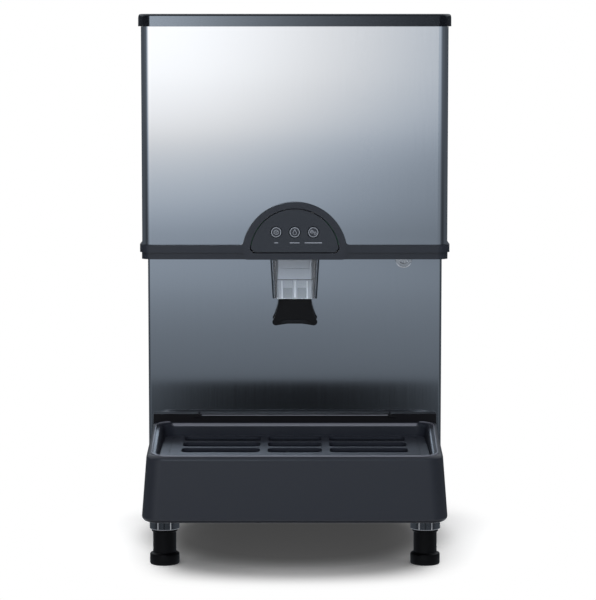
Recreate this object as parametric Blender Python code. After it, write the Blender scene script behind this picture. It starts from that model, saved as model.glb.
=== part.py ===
# Countertop ice and water dispenser, in metres.
# +Z is up, the front faces -Y, and the origin is on the floor under the middle of the machine.
from math import asin, cos, degrees, pi, radians, sin, sqrt

import bmesh
import bpy
from mathutils import Vector

# Whole machine
overall_depth = 0.600       # front of the drip tray to the ends of the rear fittings
set_back_share = 0.12       # front of the tray to the upper housing front, of the depth
overhang_share = 0.221667   # upper housing front to the splash panel, of the depth
fitting_reach = 0.012       # rear fittings, out of the rear panel
body_width = 0.413
leg_height = 0.105
bay_height = 0.3406         # base to the lower edge of the trim band
band_height = 0.0184
body_height = 0.2945        # trim band to the top cover
cap_height = 0.0165
sheet = 0.0015              # stainless panels
gap = 0.0003                # between pieces that touch
overrun = 0.004             # a cutter passes the face it cuts by this much

front_y = overall_depth * set_back_share - overall_depth / 2
splash_y = front_y + overall_depth * overhang_share
rear_y = overall_depth / 2 - fitting_reach
upper_depth = rear_y - front_y
lower_depth = rear_y - splash_y
band_bottom_z = leg_height + bay_height
band_top_z = band_bottom_z + band_height
cap_bottom_z = band_top_z + body_height
top_z = cap_bottom_z + cap_height
half_body = body_width / 2
inner_x = half_body - sheet - gap
inner_rear_y = rear_y - sheet - gap
panel_top_z = cap_bottom_z - gap

# Base pan and the rail that carries the front legs and the tray
pan_sheet = 0.002
pan_flange = 0.013
rail_depth = 0.040
rail_height = 0.0073
pan_top_z = leg_height + pan_sheet
rail_top_z = leg_height + rail_height
carried_z = pan_top_z + gap

# Panel corners and returns
front_corner = 0.014
splash_corner = 0.004
panel_return = 0.020

# Trim band
step_proud = 0.003          # upper step, out of the panels
lip_proud = 0.0004          # lower step
groove_drop = 0.010         # top of the band to the groove between the steps
band_wall = 0.008
edge_round = 0.0015
band_inner_x = half_body + step_proud - band_wall

# Dome control frame
dome_radius = 0.071
dome_apex_drop = 0.058      # apex, above the top of the band
dome_foot_in = 0.0045       # chamfer at the lower corners
dome_proud = 0.006
dome_depth = 0.008          # behind the front panel's face
fascia_radius = 0.0594
fascia_apex_drop = 0.0485
fascia_foot_drop = 0.010    # lower edge, below the top of the band
fascia_corner = 0.005
fascia_thick = 0.0025
fascia_sink = 0.001         # fascia face, behind the frame's face
dome_centre_z = band_top_z + dome_apex_drop - dome_radius
fascia_centre_z = band_top_z + fascia_apex_drop - fascia_radius
fascia_front_y = front_y - dome_proud + fascia_sink

# Push pads
button_radius = 0.0075
button_spacing = 0.025
button_rise = 0.0173        # pads, above the top of the band
button_proud = 0.0005
button_length = 0.0105
board_thick = 0.0016
button_z = band_top_z + button_rise

# Floor under the overhang, and the deck that carries the ice bin
floor_rise = 0.0015
floor_sheet = 0.0025
deck_sheet = 0.002
floor_bottom_z = band_bottom_z + floor_rise
floor_top_z = floor_bottom_z + floor_sheet
deck_bottom_z = floor_top_z + gap
deck_top_z = deck_bottom_z + deck_sheet
on_deck_z = deck_top_z + gap
splash_top_z = deck_bottom_z - gap

# Ice chute, its guard and the water nozzle
guard_top_width = 0.069
guard_bottom_width = 0.061
guard_wall = 0.0025
guard_corner = 0.008
guard_clearance = 0.003     # guard, in front of the splash panel
guard_depth = 0.060
guard_length = 0.065
chute_top_width = 0.0536
chute_bottom_width = 0.049
chute_depth = 0.031
chute_wall = 0.002
chute_set_back = 0.011      # chute, behind the guard's front
chute_lift = 0.002          # chute's mouth, above the guard's lower edge
nozzle_radius = 0.0035
nozzle_bore = 0.002
nozzle_lift = 0.004
passage_clearance = 0.0005
guard_rear_y = splash_y - guard_clearance
guard_front_y = guard_rear_y - guard_depth
guard_top_z = floor_bottom_z - gap
guard_bottom_z = guard_top_z - guard_length
chute_front_y = guard_front_y + chute_set_back
chute_rear_y = chute_front_y + chute_depth
chute_mouth_z = guard_bottom_z + chute_lift
chute_top_z = deck_top_z
nozzle_y = chute_front_y - passage_clearance - gap - nozzle_radius

# Dispense lever
pivot_drop = 0.009          # pivot, below the floor plate
pivot_set_back = 0.006      # pivot, behind the chute
pin_radius = 0.0025
lever_hub = 0.006
lever_arm_width = 0.024
lever_arm_thick = 0.0075
lever_paddle_thick = 0.005
lever_paddle_lead = 0.012   # paddle's face, in front of the arm
lever_top_width = 0.045
lever_bottom_width = 0.062
lever_height = 0.038
lever_lobe = 0.009
lever_hollow = 0.0015
lever_pivot_y = chute_rear_y + pivot_set_back
lever_pivot_z = floor_bottom_z - pivot_drop
lever_top_z = guard_bottom_z - gap

# Micro switch behind the splash panel
plunger_drop = 0.028        # plunger, below the lever's pivot
plunger_radius = 0.002
plunger_length = 0.026
plunger_bore_end = 0.006    # free bore behind the plunger
switch_width = 0.028
switch_height = 0.020
switch_depth = 0.026

# Ice gate under the bin
gate_frame_width = 0.080
gate_frame_margin = 0.013   # frame, before and behind the throat
gate_clear_height = 0.0395
gate_blade_width = 0.054
gate_blade_thick = 0.003
gate_blade_lap = 0.003      # blade, past the throat before and behind
gate_travel = 0.033
gate_rod_radius = 0.0035
solenoid_width = 0.036
solenoid_length = 0.050
solenoid_clearance = 0.002  # solenoid, behind the open blade
gate_z = on_deck_z + gate_clear_height / 2
throat_front_y = chute_front_y + chute_wall
throat_rear_y = chute_rear_y - chute_wall
throat_width = chute_bottom_width - 2 * chute_wall
gate_rear_y = throat_rear_y + gate_frame_margin

# Ice bin
bin_width = 0.300
bin_front_clear = 0.020     # gate frame to the bin's front wall
bin_length_share = 0.51357   # of the upper housing's depth
bin_wall = 0.012
roof_room = 0.0585          # bin's rim, below the top cover
lid_thick = 0.008
bin_front_y = throat_front_y - gate_frame_margin - bin_front_clear - bin_wall
bin_rear_y = bin_front_y + upper_depth * bin_length_share
bin_floor_z = on_deck_z + gate_clear_height + gap
bin_top_z = cap_bottom_z - roof_room
lid_bottom_z = bin_top_z + gap
lid_top_z = lid_bottom_z + lid_thick

# Agitator
agitator_rise = 0.056       # shaft, above the bin's floor
agitator_shaft = 0.005
agitator_reach = 0.048
agitator_arm = 0.008
agitator_arms = 4
agitator_front_gap = 0.018  # shaft's end, behind the bin's front wall
gearmotor_socket = 0.013
gearmotor_share = 0.12016    # its length, of the upper housing's depth
gearmotor_width = 0.070
agitator_z = bin_floor_z + bin_wall + agitator_rise
agitator_front_y = bin_front_y + bin_wall + agitator_front_gap
agitator_rear_y = bin_rear_y + gearmotor_socket
gearmotor_length = upper_depth * gearmotor_share

# Ice maker
maker_side = 0.070          # axis, to the right of the drain
maker_share = 0.18992       # rear panel to the axis, of the upper housing's depth
drive_width = 0.100
drive_length = 0.090
drive_height = 0.143
barrel_radius = 0.048
barrel_bore = 0.029
barrel_height = 0.390
auger_radius = 0.0275
auger_core = 0.012
auger_turns = 6
auger_steps = 12
auger_flight = 0.006
channel_width = 0.076
channel_wall = 0.003
channel_rise = 0.037        # channel, over the bin's lid
channel_mouth = 0.045       # mouth over the bin, along Y
channel_mouth_in = 0.010    # mouth, in front of the bin's rear wall
maker_y = rear_y - upper_depth * maker_share
drive_top_z = carried_z + drive_height
barrel_bottom_z = drive_top_z + gap
barrel_top_z = barrel_bottom_z + barrel_height
channel_bottom_z = barrel_top_z + gap
channel_top_z = lid_top_z + gap + channel_rise

# Refrigeration
compressor_side = 0.0147    # feet, inside the left side panel
compressor_share = 0.3081   # rear panel to the axis, of the lower housing's depth
compressor_radius_share = 0.15981  # of the body's width
foot_out = 0.014            # compressor's feet, out of its shell
compressor_height = 0.190
compressor_flat = 0.045
drain_side = 0.034          # compressor to the drain's axis
grommet_height = 0.012
grommet_radius = 0.010
compressor_radius = body_width * compressor_radius_share
compressor_foot = compressor_radius + foot_out
compressor_x = compressor_side + compressor_foot - inner_x
compressor_y = rear_y - lower_depth * compressor_share
drain_x = compressor_x + compressor_radius + drain_side
maker_x = drain_x + maker_side
compressor_bottom_z = carried_z + grommet_height + gap
compressor_top_z = compressor_bottom_z + compressor_height
condenser_thick = 0.040
condenser_clear = 0.014     # condenser, inside the right side panel
condenser_front = 0.035     # condenser, behind the splash panel
condenser_share = 0.44387   # its length, of the lower housing's depth
condenser_height = 0.220
condenser_fins = 14
fin_depth = 0.008
shroud_thick = 0.010
fan_share = 0.4353          # fan's radius, of the condenser's length
fan_hole_clear = 0.004
fan_hub = 0.020
fan_width = 0.014
fan_blade = 0.003
fan_count = 5
vane_root_share = 0.33      # half a vane's width at the hub, of the hub's radius
vane_tip_share = 0.33       # and at the tip, of the fan's radius
fan_clearance = 0.001
fan_motor_radius = 0.025
fan_motor_length = 0.050
fan_bracket = 0.004
condenser_outer_x = inner_x - condenser_clear
condenser_inner_x = condenser_outer_x - condenser_thick
condenser_front_y = splash_y + condenser_front
condenser_length = lower_depth * condenser_share
condenser_y = condenser_front_y + condenser_length / 2
fan_radius = condenser_length * fan_share
fan_hole = fan_radius + fan_hole_clear
condenser_top_z = carried_z + condenser_height
fan_z = carried_z + condenser_height / 2
shroud_outer_x = condenser_inner_x - gap
shroud_inner_x = shroud_outer_x - shroud_thick
fan_front_x = shroud_inner_x - fan_clearance
fan_motor_x = fan_front_x - fan_width - gap
line_radius = 0.004
line_bend = 0.020
line_bend_steps = 4
line_clearance = 0.070      # crossing line, over the compressor
drier_radius = 0.012
drier_length = 0.070
drier_drop = 0.013          # drier, over the condenser
drier_rear_share = 0.82     # drier's place along the condenser
port_out = 0.020            # discharge port, off the compressor's axis
suction_out = 0.030

# Water side
tank_width = 0.090
tank_length = 0.100
tank_height = 0.108
tank_wall = 0.003
tank_side = 0.012           # reservoir, inside the left side panel
tank_rear = 0.056           # reservoir, in front of the rear panel
float_radius = 0.014
float_reach = 0.033
float_hub = 0.005
float_arm_thick = 0.004
float_drop = 0.015          # hub, below the reservoir's rim
float_sink = 0.050          # float, below its hub when the reservoir is empty
valve_width = 0.040
valve_length = 0.035
valve_rise = 0.060          # inlet, above the deck
fitting_radius = 0.010
fitting_bore = 0.006
nipple_radius = 0.005
hose_radius = 0.005
hose_rise = 0.022
tank_left_x = tank_side - inner_x
tank_x = tank_left_x + tank_width / 2
tank_rear_y = rear_y - tank_rear - gap
tank_top_z = on_deck_z + tank_height
valve_z = on_deck_z + valve_rise
drain_radius = 0.008
drain_bore = 0.005
drain_spigot = 0.009        # tray's spigot, through the splash panel
drain_rise = 0.0442         # spigot, above the tray's lower edge
drain_fall = 0.026
drain_fitting_inside = 0.020
drain_bend = 0.020

# Drip tray
tray_sink = 0.0104          # tray's lower edge at the rear, above the base's underside
tray_front_height = 0.0731  # from there to the front rim
tray_rear_rise = 0.012
tray_front_drop = 0.0144    # lower edge at the front, under its level at the rear
tray_front_in = 0.0018      # tray's front corners, inside the body's sides
tray_rear_in = 0.0018
tray_lean = 0.0058          # front corners lean in towards the rim
tray_rear_lean = 0.0052
tray_front_lean = 0.003
tray_corner = 0.022
tray_wall = 0.003
rim_front = 0.014
rim_side = 0.0169
rim_rear = 0.015
rim_round = 0.003
basin_depth = 0.0365
grille_sink = 0.003         # grille's face, below the front rim
grille_thick = 0.004
grille_ledge = 0.006
upstand_rise = 0.0095
upstand_centre_rise = 0.015
upstand_centre_share = 0.647  # width of its raised middle, of the tray's
upstand_thick = 0.010
tray_front_width = body_width - 2 * tray_front_in
tray_rear_width = body_width - 2 * tray_rear_in
tray_front_y = -overall_depth / 2
tray_rear_y = splash_y - gap
tray_bottom_z = leg_height + tray_sink
tray_rim_z = tray_bottom_z + tray_front_height
tray_rear_z = tray_rim_z + tray_rear_rise
grille_top_z = tray_rim_z - grille_sink
drain_z = tray_bottom_z + drain_rise

# Grille slots
slot_centre_share = 0.1825  # middle slots, of the tray's width
slot_side_share = 0.2625
slot_space = 0.0105
slot_rows = 3
slot_pitch = 0.046
slot_length = 0.034
slot_set_back = 0.015       # field of slots, behind the middle of the grille
slot_corner = 0.008
slot_centre_width = tray_front_width * slot_centre_share
slot_side_width = tray_front_width * slot_side_share

# Key lock on the splash panel
lock_edge = 0.0537          # lock's axis, inside the body's side
lock_drop = 0.0121          # below the trim band
lock_radius = 0.0119
lock_flange = 0.003
lock_barrel = 0.009
lock_barrel_length = 0.022
plug_radius = 0.006
plug_length = 0.018
plug_proud = 0.0015
key_slot_width = 0.0016
key_slot_length = 0.007
key_slot_depth = 0.006
lock_x = half_body - lock_edge
lock_z = band_bottom_z - lock_drop

# Legs
leg_edge = 0.0217           # leg's axis, inside the body's side
leg_forward = 0.002         # front legs, before the splash panel
leg_rear_in = 0.040
sleeve_radius = 0.0212
sleeve_length = 0.054
sleeve_roof = 0.005
sleeve_chamfer = 0.003
foot_radius = 0.021
foot_flange = 0.0163
column_radius = 0.0165
column_head = 0.004         # free room over the column
leg_x = half_body - leg_edge
leg_front_y = splash_y - leg_forward
leg_rear_y = rear_y - leg_rear_in
sleeve_top_z = leg_height - gap
sleeve_bottom_z = sleeve_top_z - sleeve_length

# Electrical pieces
box_width = 0.110
box_share = 0.33943         # control box's length, of the lower housing's depth
box_height = 0.190
box_side = 0.012
box_front = 0.012
inlet_edge = 0.0565         # power inlet's middle, inside the body's side
inlet_rise = 0.060          # inlet, above the pan
inlet_width = 0.030
inlet_height = 0.064
inlet_depth = 0.026
inlet_flange = 0.003
inlet_flange_out = 0.006
socket_width = 0.022
socket_height = 0.018
socket_depth = 0.014
rocker_radius = 0.008
rocker_width = 0.018
rocker_notch = 0.0015       # valley between the rocker's two faces
rocker_face = 50            # half the angle that the faces span, in degrees
rocker_tilt = 8             # in degrees
rocker_rise = 0.016         # rocker and socket, off the middle of the inlet
inlet_x = half_body - inlet_edge
inlet_z = pan_top_z + inlet_rise
box_length = lower_depth * box_share

# Vents and fixings
side_slot_share = 0.38824   # a vent slot's length, of the condenser's
side_slot_height = 0.005
side_slot_pitch = 0.020
side_slot_rows = 8
side_slot_space = 0.016
side_slot_length = condenser_length * side_slot_share
rear_slot_length = 0.220
rear_slot_rows = 9
rear_slot_rise = 0.115
rear_slot_shift = 0.013     # louvres, to the left of the middle

# Top cover
cap_side = 0.0035           # cover, out of the body's sides
cap_front = 0.005
cap_rear = 0.003
cap_corner = 0.017
cap_round = 0.002
cap_wall = 0.003
cap_rim = 0.010

# Colours with roughness and metallic value
finishes = {
    "stainless": ((0.62, 0.64, 0.66), 0.32, 1.0),
    "gloss_black": ((0.012, 0.013, 0.016), 0.12, 0.0),
    "black": ((0.025, 0.027, 0.031), 0.38, 0.0),
    "grey": ((0.10, 0.105, 0.115), 0.35, 0.0),
    "clear": ((0.80, 0.83, 0.85), 0.10, 0.0),
    "white": ((0.72, 0.74, 0.75), 0.40, 0.0),
    "green": ((0.03, 0.16, 0.07), 0.45, 0.0),
    "copper": ((0.72, 0.36, 0.20), 0.30, 1.0),
    "brass": ((0.70, 0.52, 0.22), 0.30, 1.0),
    "chrome": ((0.72, 0.73, 0.74), 0.12, 1.0),
    "zinc": ((0.50, 0.51, 0.52), 0.45, 1.0),
    "rubber": ((0.02, 0.02, 0.02), 0.80, 0.0),
}

for leftover in list(bpy.data.objects):
    bpy.data.objects.remove(leftover, do_unlink=True)


# Modelling helpers
def add_material(name, finish):
    colour, roughness, metallic = finishes[finish]
    material = bpy.data.materials.new(name + "_" + finish)
    material.use_nodes = True
    shader = material.node_tree.nodes["Principled BSDF"]
    shader.inputs["Base Color"].default_value = (*colour, 1)
    shader.inputs["Roughness"].default_value = roughness
    shader.inputs["Metallic"].default_value = metallic
    material.diffuse_color = (*colour, 1)
    return material


def add_object(name, shape, finish, place=(0, 0, 0), smooth=False):
    """Turn a bmesh into an object, with a material unless it is a cutter."""
    bmesh.ops.recalc_face_normals(shape, faces=shape.faces)
    mesh = bpy.data.meshes.new(name)
    shape.to_mesh(mesh)
    shape.free()
    if smooth:
        mesh.shade_smooth()
        mesh.set_sharp_from_angle(angle=radians(35))
    piece = bpy.data.objects.new(name, mesh)
    piece.location = place
    bpy.context.scene.collection.objects.link(piece)
    if finish:
        mesh.materials.append(add_material(name, finish))
    else:
        piece.hide_render = True
        piece.display_type = "WIRE"
    return piece


def skin_rings(shape, rings, closed=False):
    """Join rings of points with faces; a ring of one point is a tip."""
    rows = [[shape.verts.new(point) for point in ring] for ring in rings]
    pairs = list(zip(rows, rows[1:]))
    if closed:
        pairs.append((rows[-1], rows[0]))
    for lower, upper in pairs:
        count = max(len(lower), len(upper))
        for i in range(count):
            j = (i + 1) % count
            if len(lower) == 1:
                shape.faces.new((lower[0], upper[j], upper[i]))
            elif len(upper) == 1:
                shape.faces.new((lower[i], lower[j], upper[0]))
            else:
                shape.faces.new((lower[i], lower[j], upper[j], upper[i]))
    if not closed:
        for row in (rows[0], rows[-1]):
            if len(row) > 2:
                shape.faces.new(row)


def layers(name, rings, finish, place=(0, 0, 0)):
    shape = bmesh.new()
    skin_rings(shape, rings)
    return add_object(name, shape, finish, place)


def boxes(name, extents, finish, place=(0, 0, 0)):
    """One object of separate boxes, each given by its low and high corners."""
    shape = bmesh.new()
    for low, high in extents:
        rings = []
        corners = ((low[0], low[1]), (high[0], low[1]), (high[0], high[1]), (low[0], high[1]))
        for z in (low[2], high[2]):
            rings.append([(x, y, z) for x, y in corners])
        skin_rings(shape, rings)
    return add_object(name, shape, finish, place)


def box(name, low, high, finish, place=(0, 0, 0)):
    return boxes(name, [(low, high)], finish, place)


def along(axis, first, second, depth):
    """A point from its place in the plane across an axis and its place along it."""
    if axis == "X":
        return (depth, first, second)
    if axis == "Y":
        return (first, depth, second)
    return (first, second, depth)


def prism(name, outline, axis, start, end, finish, place=(0, 0, 0)):
    rings = [[along(axis, u, v, depth) for u, v in outline] for depth in (start, end)]
    return layers(name, rings, finish, place)


def turned_shape(shape, profile, axis="Z", sides=24, place=(0, 0, 0), closed=False):
    """Turn a profile of (radius, height) points round an axis."""
    rings = []
    for radius, height in profile:
        turns = [2 * pi * i / sides for i in range(sides)] if radius else [0]
        points = [along(axis, radius * cos(turn), radius * sin(turn), height) for turn in turns]
        rings.append([tuple(a + b for a, b in zip(point, place)) for point in points])
    skin_rings(shape, rings, closed)


def turned(name, profile, finish, axis="Z", sides=24, place=(0, 0, 0), closed=False):
    shape = bmesh.new()
    turned_shape(shape, profile, axis, sides, closed=closed)
    return add_object(name, shape, finish, place, smooth=True)


def rod(name, radius, start, end, finish, axis="Z", sides=16, place=(0, 0, 0)):
    return turned(name, [(radius, start), (radius, end)], finish, axis, sides, place)


def combine(target, tool, operation="DIFFERENCE"):
    """Cut one object with another, or join them, and keep the tool out of the part."""
    tool.hide_render = True
    tool.display_type = "WIRE"
    change = target.modifiers.new(operation.lower() + "_" + tool.name, "BOOLEAN")
    change.operation = operation
    change.object = tool


def arc(centre, radius, start, end, steps):
    """Points of an arc between two angles in degrees, both ends included."""
    turns = [radians(start + (end - start) * i / steps) for i in range(steps + 1)]
    return [(centre[0] + radius * cos(turn), centre[1] + radius * sin(turn)) for turn in turns]


def rounded(low, high, radius, steps=3):
    """Rounded rectangle from its low and high corners."""
    outline = []
    corners = ((low[0], low[1], 180), (high[0], low[1], 270), (high[0], high[1], 0), (low[0], high[1], 90))
    for x, y, turn in corners:
        centre_x = x + radius if x == low[0] else x - radius
        centre_y = y + radius if y == low[1] else y - radius
        outline += arc((centre_x, centre_y), radius, turn, turn + 90, steps)
    return outline


def front_wrap(half_width, front, rear, radius, proud=0, steps=4):
    """Path round a front with two corners, seen from above, each point moved outwards by proud."""
    path = [(-half_width - proud, rear)]
    path += arc((-half_width + radius, front + radius), radius + proud, 180, 270, steps)
    path += arc((half_width - radius, front + radius), radius + proud, 270, 360, steps)
    path.append((half_width + proud, rear))
    return path


def sweep_front(name, section, half_width, front, rear, radius, finish, steps=4):
    """Sweep a section of (outwards, height) points round the front of the machine."""
    paths = [front_wrap(half_width, front, rear, radius, proud, steps) for proud, height in section]
    rings = []
    for i in range(len(paths[0])):
        rings.append([(*path[i], height) for path, (proud, height) in zip(paths, section)])
    return layers(name, rings, finish)


def pipe(name, route, radii, finish, sides=12):
    """Round pipe along a route, with a radius for each point and closed ends."""
    points = [Vector(point) for point in route]
    heading = (points[1] - points[0]).normalized()
    across = heading.orthogonal().normalized()
    rings = []
    for i, point in enumerate(points):
        before = points[max(i - 1, 0)]
        after = points[min(i + 1, len(points) - 1)]
        step = (after - before).normalized()
        across = (across - step * across.dot(step)).normalized()
        other = step.cross(across)
        ring = []
        for side in range(sides):
            turn = 2 * pi * side / sides
            ring.append(tuple(point + (across * cos(turn) + other * sin(turn)) * radii[i]))
        rings.append(ring)
    return layers(name, rings, finish)


def bent_route(corners, bend, steps):
    """Round each inner corner of a route with a smooth bend."""
    route = [corners[0]]
    for before, corner, after in zip(corners, corners[1:], corners[2:]):
        arms = []
        for other in (before, after):
            reach = sqrt(sum((a - b) ** 2 for a, b in zip(other, corner)))
            arms.append([c + (o - c) * bend / reach for o, c in zip(other, corner)])
        for i in range(steps + 1):
            t = i / steps
            weights = ((1 - t) ** 2, 2 * t * (1 - t), t ** 2)
            parts = zip(arms[0], corner, arms[1])
            route.append(tuple(sum(w * p for w, p in zip(weights, part)) for part in parts))
    route.append(corners[-1])
    return route


# Base pan: a folded sheet whose front rail carries the front legs and the tray
def make_base_pan():
    rail_front = splash_y - rail_depth
    rail_rear = splash_y - gap
    outline = [
        (rail_front, leg_height),
        (inner_rear_y, leg_height),
        (inner_rear_y, pan_top_z + pan_flange),
        (inner_rear_y - pan_sheet, pan_top_z + pan_flange),
        (inner_rear_y - pan_sheet, pan_top_z),
        (rail_rear, pan_top_z),
        (rail_rear, rail_top_z),
        (rail_front, rail_top_z),
    ]
    prism("base_pan", outline, "X", -inner_x, inner_x, "zinc")


# Side panels: flat sheets that step forward over the cup bay
def make_side_panels():
    splash_edge = splash_y + panel_return + gap
    front_edge = front_y + panel_return + gap
    outline = [
        (rear_y, leg_height),
        (splash_edge, leg_height),
        (splash_edge, splash_top_z + gap),
        (splash_y + gap, splash_top_z + gap),
        (splash_y + gap, band_top_z + gap),
        (front_edge, band_top_z + gap),
        (front_edge, panel_top_z),
        (rear_y, panel_top_z),
    ]
    vents = []
    for row in range(side_slot_rows):
        for side in (-1, 1):
            middle_y = condenser_y + side * (side_slot_length + side_slot_space) / 2
            middle_z = fan_z + (row - (side_slot_rows - 1) / 2) * side_slot_pitch
            low = (-half_body - overrun, middle_y - side_slot_length / 2, middle_z - side_slot_height / 2)
            high = (half_body + overrun, middle_y + side_slot_length / 2, middle_z + side_slot_height / 2)
            vents.append((low, high))
    cutter = boxes("side_vent_cutter", vents, None)
    for name, outer in (("left_side_panel", -half_body), ("right_side_panel", half_body)):
        inner = outer - sheet if outer > 0 else outer + sheet
        panel = prism(name, outline, "X", min(outer, inner), max(outer, inner), "stainless")
        combine(panel, cutter)


# Rear panel: flat sheet with louvres and holes for the fittings
def make_rear_panel():
    front = rear_y - sheet
    panel = box("rear_panel", (-inner_x, front, leg_height), (inner_x, rear_y, panel_top_z), "stainless")
    low_y = front - overrun
    high_y = rear_y + overrun
    slots = []
    for row in range(rear_slot_rows):
        z = leg_height + rear_slot_rise + row * side_slot_pitch
        low = (-rear_slot_length / 2 - rear_slot_shift, low_y, z)
        slots.append((low, (rear_slot_length / 2 - rear_slot_shift, high_y, z + side_slot_height)))
    combine(panel, boxes("rear_louvre_cutter", slots, None))
    half_width = inlet_width / 2 + gap
    half_height = inlet_height / 2 + gap
    low = (inlet_x - half_width, low_y, inlet_z - half_height)
    combine(panel, box("rear_inlet_cutter", low, (inlet_x + half_width, high_y, inlet_z + half_height), None))
    holes = bmesh.new()
    for x, z in ((tank_x, valve_z), (drain_x, drain_z - drain_fall)):
        profile = [(fitting_radius + gap, low_y), (fitting_radius + gap, high_y)]
        turned_shape(holes, profile, "Y", 16, (x, 0, z))
    combine(panel, add_object("rear_fitting_cutter", holes, None))


# Upper front and splash panel: stainless sheets wrapped round the front corners
def dome_outline(radius, centre_z, foot_z, bottom_z, corner, steps=16):
    """Half-round top over a foot with cut corners, as (x, z) points."""
    first = degrees(asin((foot_z - centre_z) / radius))
    half_foot = radius * cos(radians(first))
    outline = arc((0, centre_z), radius, first, 180 - first, steps)
    if foot_z > bottom_z + corner:
        outline.append((-half_foot, bottom_z + corner))
    outline += [(corner - half_foot, bottom_z), (half_foot - corner, bottom_z)]
    if foot_z > bottom_z + corner:
        outline.append((half_foot, bottom_z + corner))
    return outline


def sheet_section(bottom, top):
    return [(-sheet, bottom), (0, bottom), (0, top), (-sheet, top)]


def make_upper_front_panel():
    section = sheet_section(band_top_z + gap, panel_top_z)
    rear = front_y + panel_return
    panel = sweep_front("upper_front_panel", section, half_body, front_y, rear, front_corner, "stainless")
    outline = dome_outline(dome_radius + gap, dome_centre_z, band_top_z, band_bottom_z, dome_foot_in)
    combine(panel, prism("dome_opening_cutter", outline, "Y", front_y - overrun, front_y + overrun, None))


def make_splash_panel():
    section = sheet_section(carried_z, splash_top_z)
    rear = splash_y + panel_return
    panel = sweep_front("splash_panel", section, half_body, splash_y, rear, splash_corner, "stainless", 2)
    low_y = splash_y - overrun
    high_y = splash_y + overrun
    holes = bmesh.new()
    for radius, x, z in (
        (drain_radius + gap, drain_x, drain_z),
        (lock_barrel + gap, lock_x, lock_z),
        (plunger_radius + gap, 0, lever_pivot_z - plunger_drop),
    ):
        turned_shape(holes, [(radius, low_y), (radius, high_y)], "Y", 16, (x, 0, z))
    combine(panel, add_object("splash_hole_cutter", holes, None))


# Trim band: black moulding in two steps, joined to the dome-shaped control frame
def make_trim_band():
    inner = step_proud - band_wall
    groove_z = band_top_z - groove_drop
    section = [
        (inner, band_bottom_z),
        (lip_proud - edge_round, band_bottom_z),
        (lip_proud, band_bottom_z + edge_round),
        (lip_proud, groove_z),
        (step_proud, groove_z),
        (step_proud, band_top_z - edge_round),
        (step_proud - edge_round, band_top_z),
        (inner, band_top_z),
    ]
    rear = splash_y - gap
    band = sweep_front("front_trim_band", section, half_body, front_y, rear, front_corner, "black")
    outline = dome_outline(dome_radius, dome_centre_z, band_top_z, band_bottom_z, dome_foot_in)
    frame = prism("dome_frame", outline, "Y", front_y - dome_proud, front_y + dome_depth, None)
    combine(band, frame, "UNION")
    bottom_z = band_top_z - fascia_foot_drop - gap
    foot_z = bottom_z + fascia_corner
    recess = dome_outline(fascia_radius + gap, fascia_centre_z, foot_z, bottom_z, fascia_corner)
    low_y = front_y - dome_proud - overrun
    combine(band, prism("fascia_recess_cutter", recess, "Y", low_y, front_y + dome_depth + overrun, None))


# Control fascia, its three push pads and the board behind them
def button_places():
    return [("ice_button", -button_spacing), ("water_button", 0), ("ice_water_button", button_spacing)]


def make_controls():
    bottom_z = band_top_z - fascia_foot_drop
    outline = dome_outline(fascia_radius, fascia_centre_z, bottom_z + fascia_corner, bottom_z, fascia_corner)
    rear = fascia_front_y + fascia_thick
    fascia = prism("control_fascia", outline, "Y", fascia_front_y, rear, "grey")
    holes = bmesh.new()
    for name, x in button_places():
        profile = [(button_radius + gap, fascia_front_y - overrun), (button_radius + gap, rear + overrun)]
        turned_shape(holes, profile, "Y", 24, (x, 0, button_z))
    combine(fascia, add_object("button_hole_cutter", holes, None))
    for name, x in button_places():
        place = (x, fascia_front_y - button_proud, button_z)
        profile = [(0, 0), (button_radius - button_proud, 0), (button_radius, button_proud)]
        profile += [(button_radius, button_length), (0, button_length)]
        turned(name, profile, "grey", "Y", 24, place)
    front = front_y + dome_depth + gap
    half_width = (dome_radius + fascia_radius) / 2
    low = (-half_width, front, band_top_z)
    high = (half_width, front + board_thick, button_z + button_rise)
    box("control_board", low, high, "green")


# Floor plate under the overhang and the deck over it, with passages for the chute and the water nozzle
def guard_half_width(z):
    share = (z - guard_bottom_z) / guard_length
    return (guard_bottom_width + (guard_top_width - guard_bottom_width) * share) / 2


def chute_half_width(z):
    share = (z - chute_mouth_z) / (chute_top_z - chute_mouth_z)
    return (chute_bottom_width + (chute_top_width - chute_bottom_width) * share) / 2


def make_floor_and_deck():
    half_width = band_inner_x - gap
    front = front_y + dome_depth + gap
    outline = rounded((-half_width, front), (half_width, splash_y - gap), front_corner)
    floor = prism("overhang_floor", outline, "Z", floor_bottom_z, floor_top_z, "black")
    outline = rounded((-half_width, front), (half_width, inner_rear_y), front_corner)
    deck = prism("support_deck", outline, "Z", deck_bottom_z, deck_top_z, "zinc")
    reach = chute_top_width / 2 + passage_clearance
    low = (-reach, chute_front_y - passage_clearance, floor_bottom_z - overrun)
    high = (reach, chute_rear_y + passage_clearance, deck_top_z + overrun)
    passage = box("chute_passage_cutter", low, high, None)
    place = (0, nozzle_y, 0)
    nozzle = rod("nozzle_passage_cutter", nozzle_radius + gap, low[2], high[2], None, "Z", 12, place)
    for plate in (floor, deck):
        combine(plate, passage)
        combine(plate, nozzle)
    place = (maker_x, maker_y, 0)
    barrel = rod("barrel_passage_cutter", barrel_radius + gap, low[2], high[2], None, "Z", 32, place)
    combine(deck, barrel)


# Clear guard: a three-sided screen round the chute, open to the rear and below
def make_chute_guard():
    rings = []
    for z in (guard_bottom_z, guard_top_z):
        half_width = guard_half_width(z)
        outer = front_wrap(half_width, guard_front_y, guard_rear_y, guard_corner, 0, 3)
        inner = front_wrap(half_width, guard_front_y, guard_rear_y, guard_corner, -guard_wall, 3)
        rings.append([(x, y, z) for x, y in outer + inner[::-1]])
    layers("chute_guard", rings, "clear")


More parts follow.
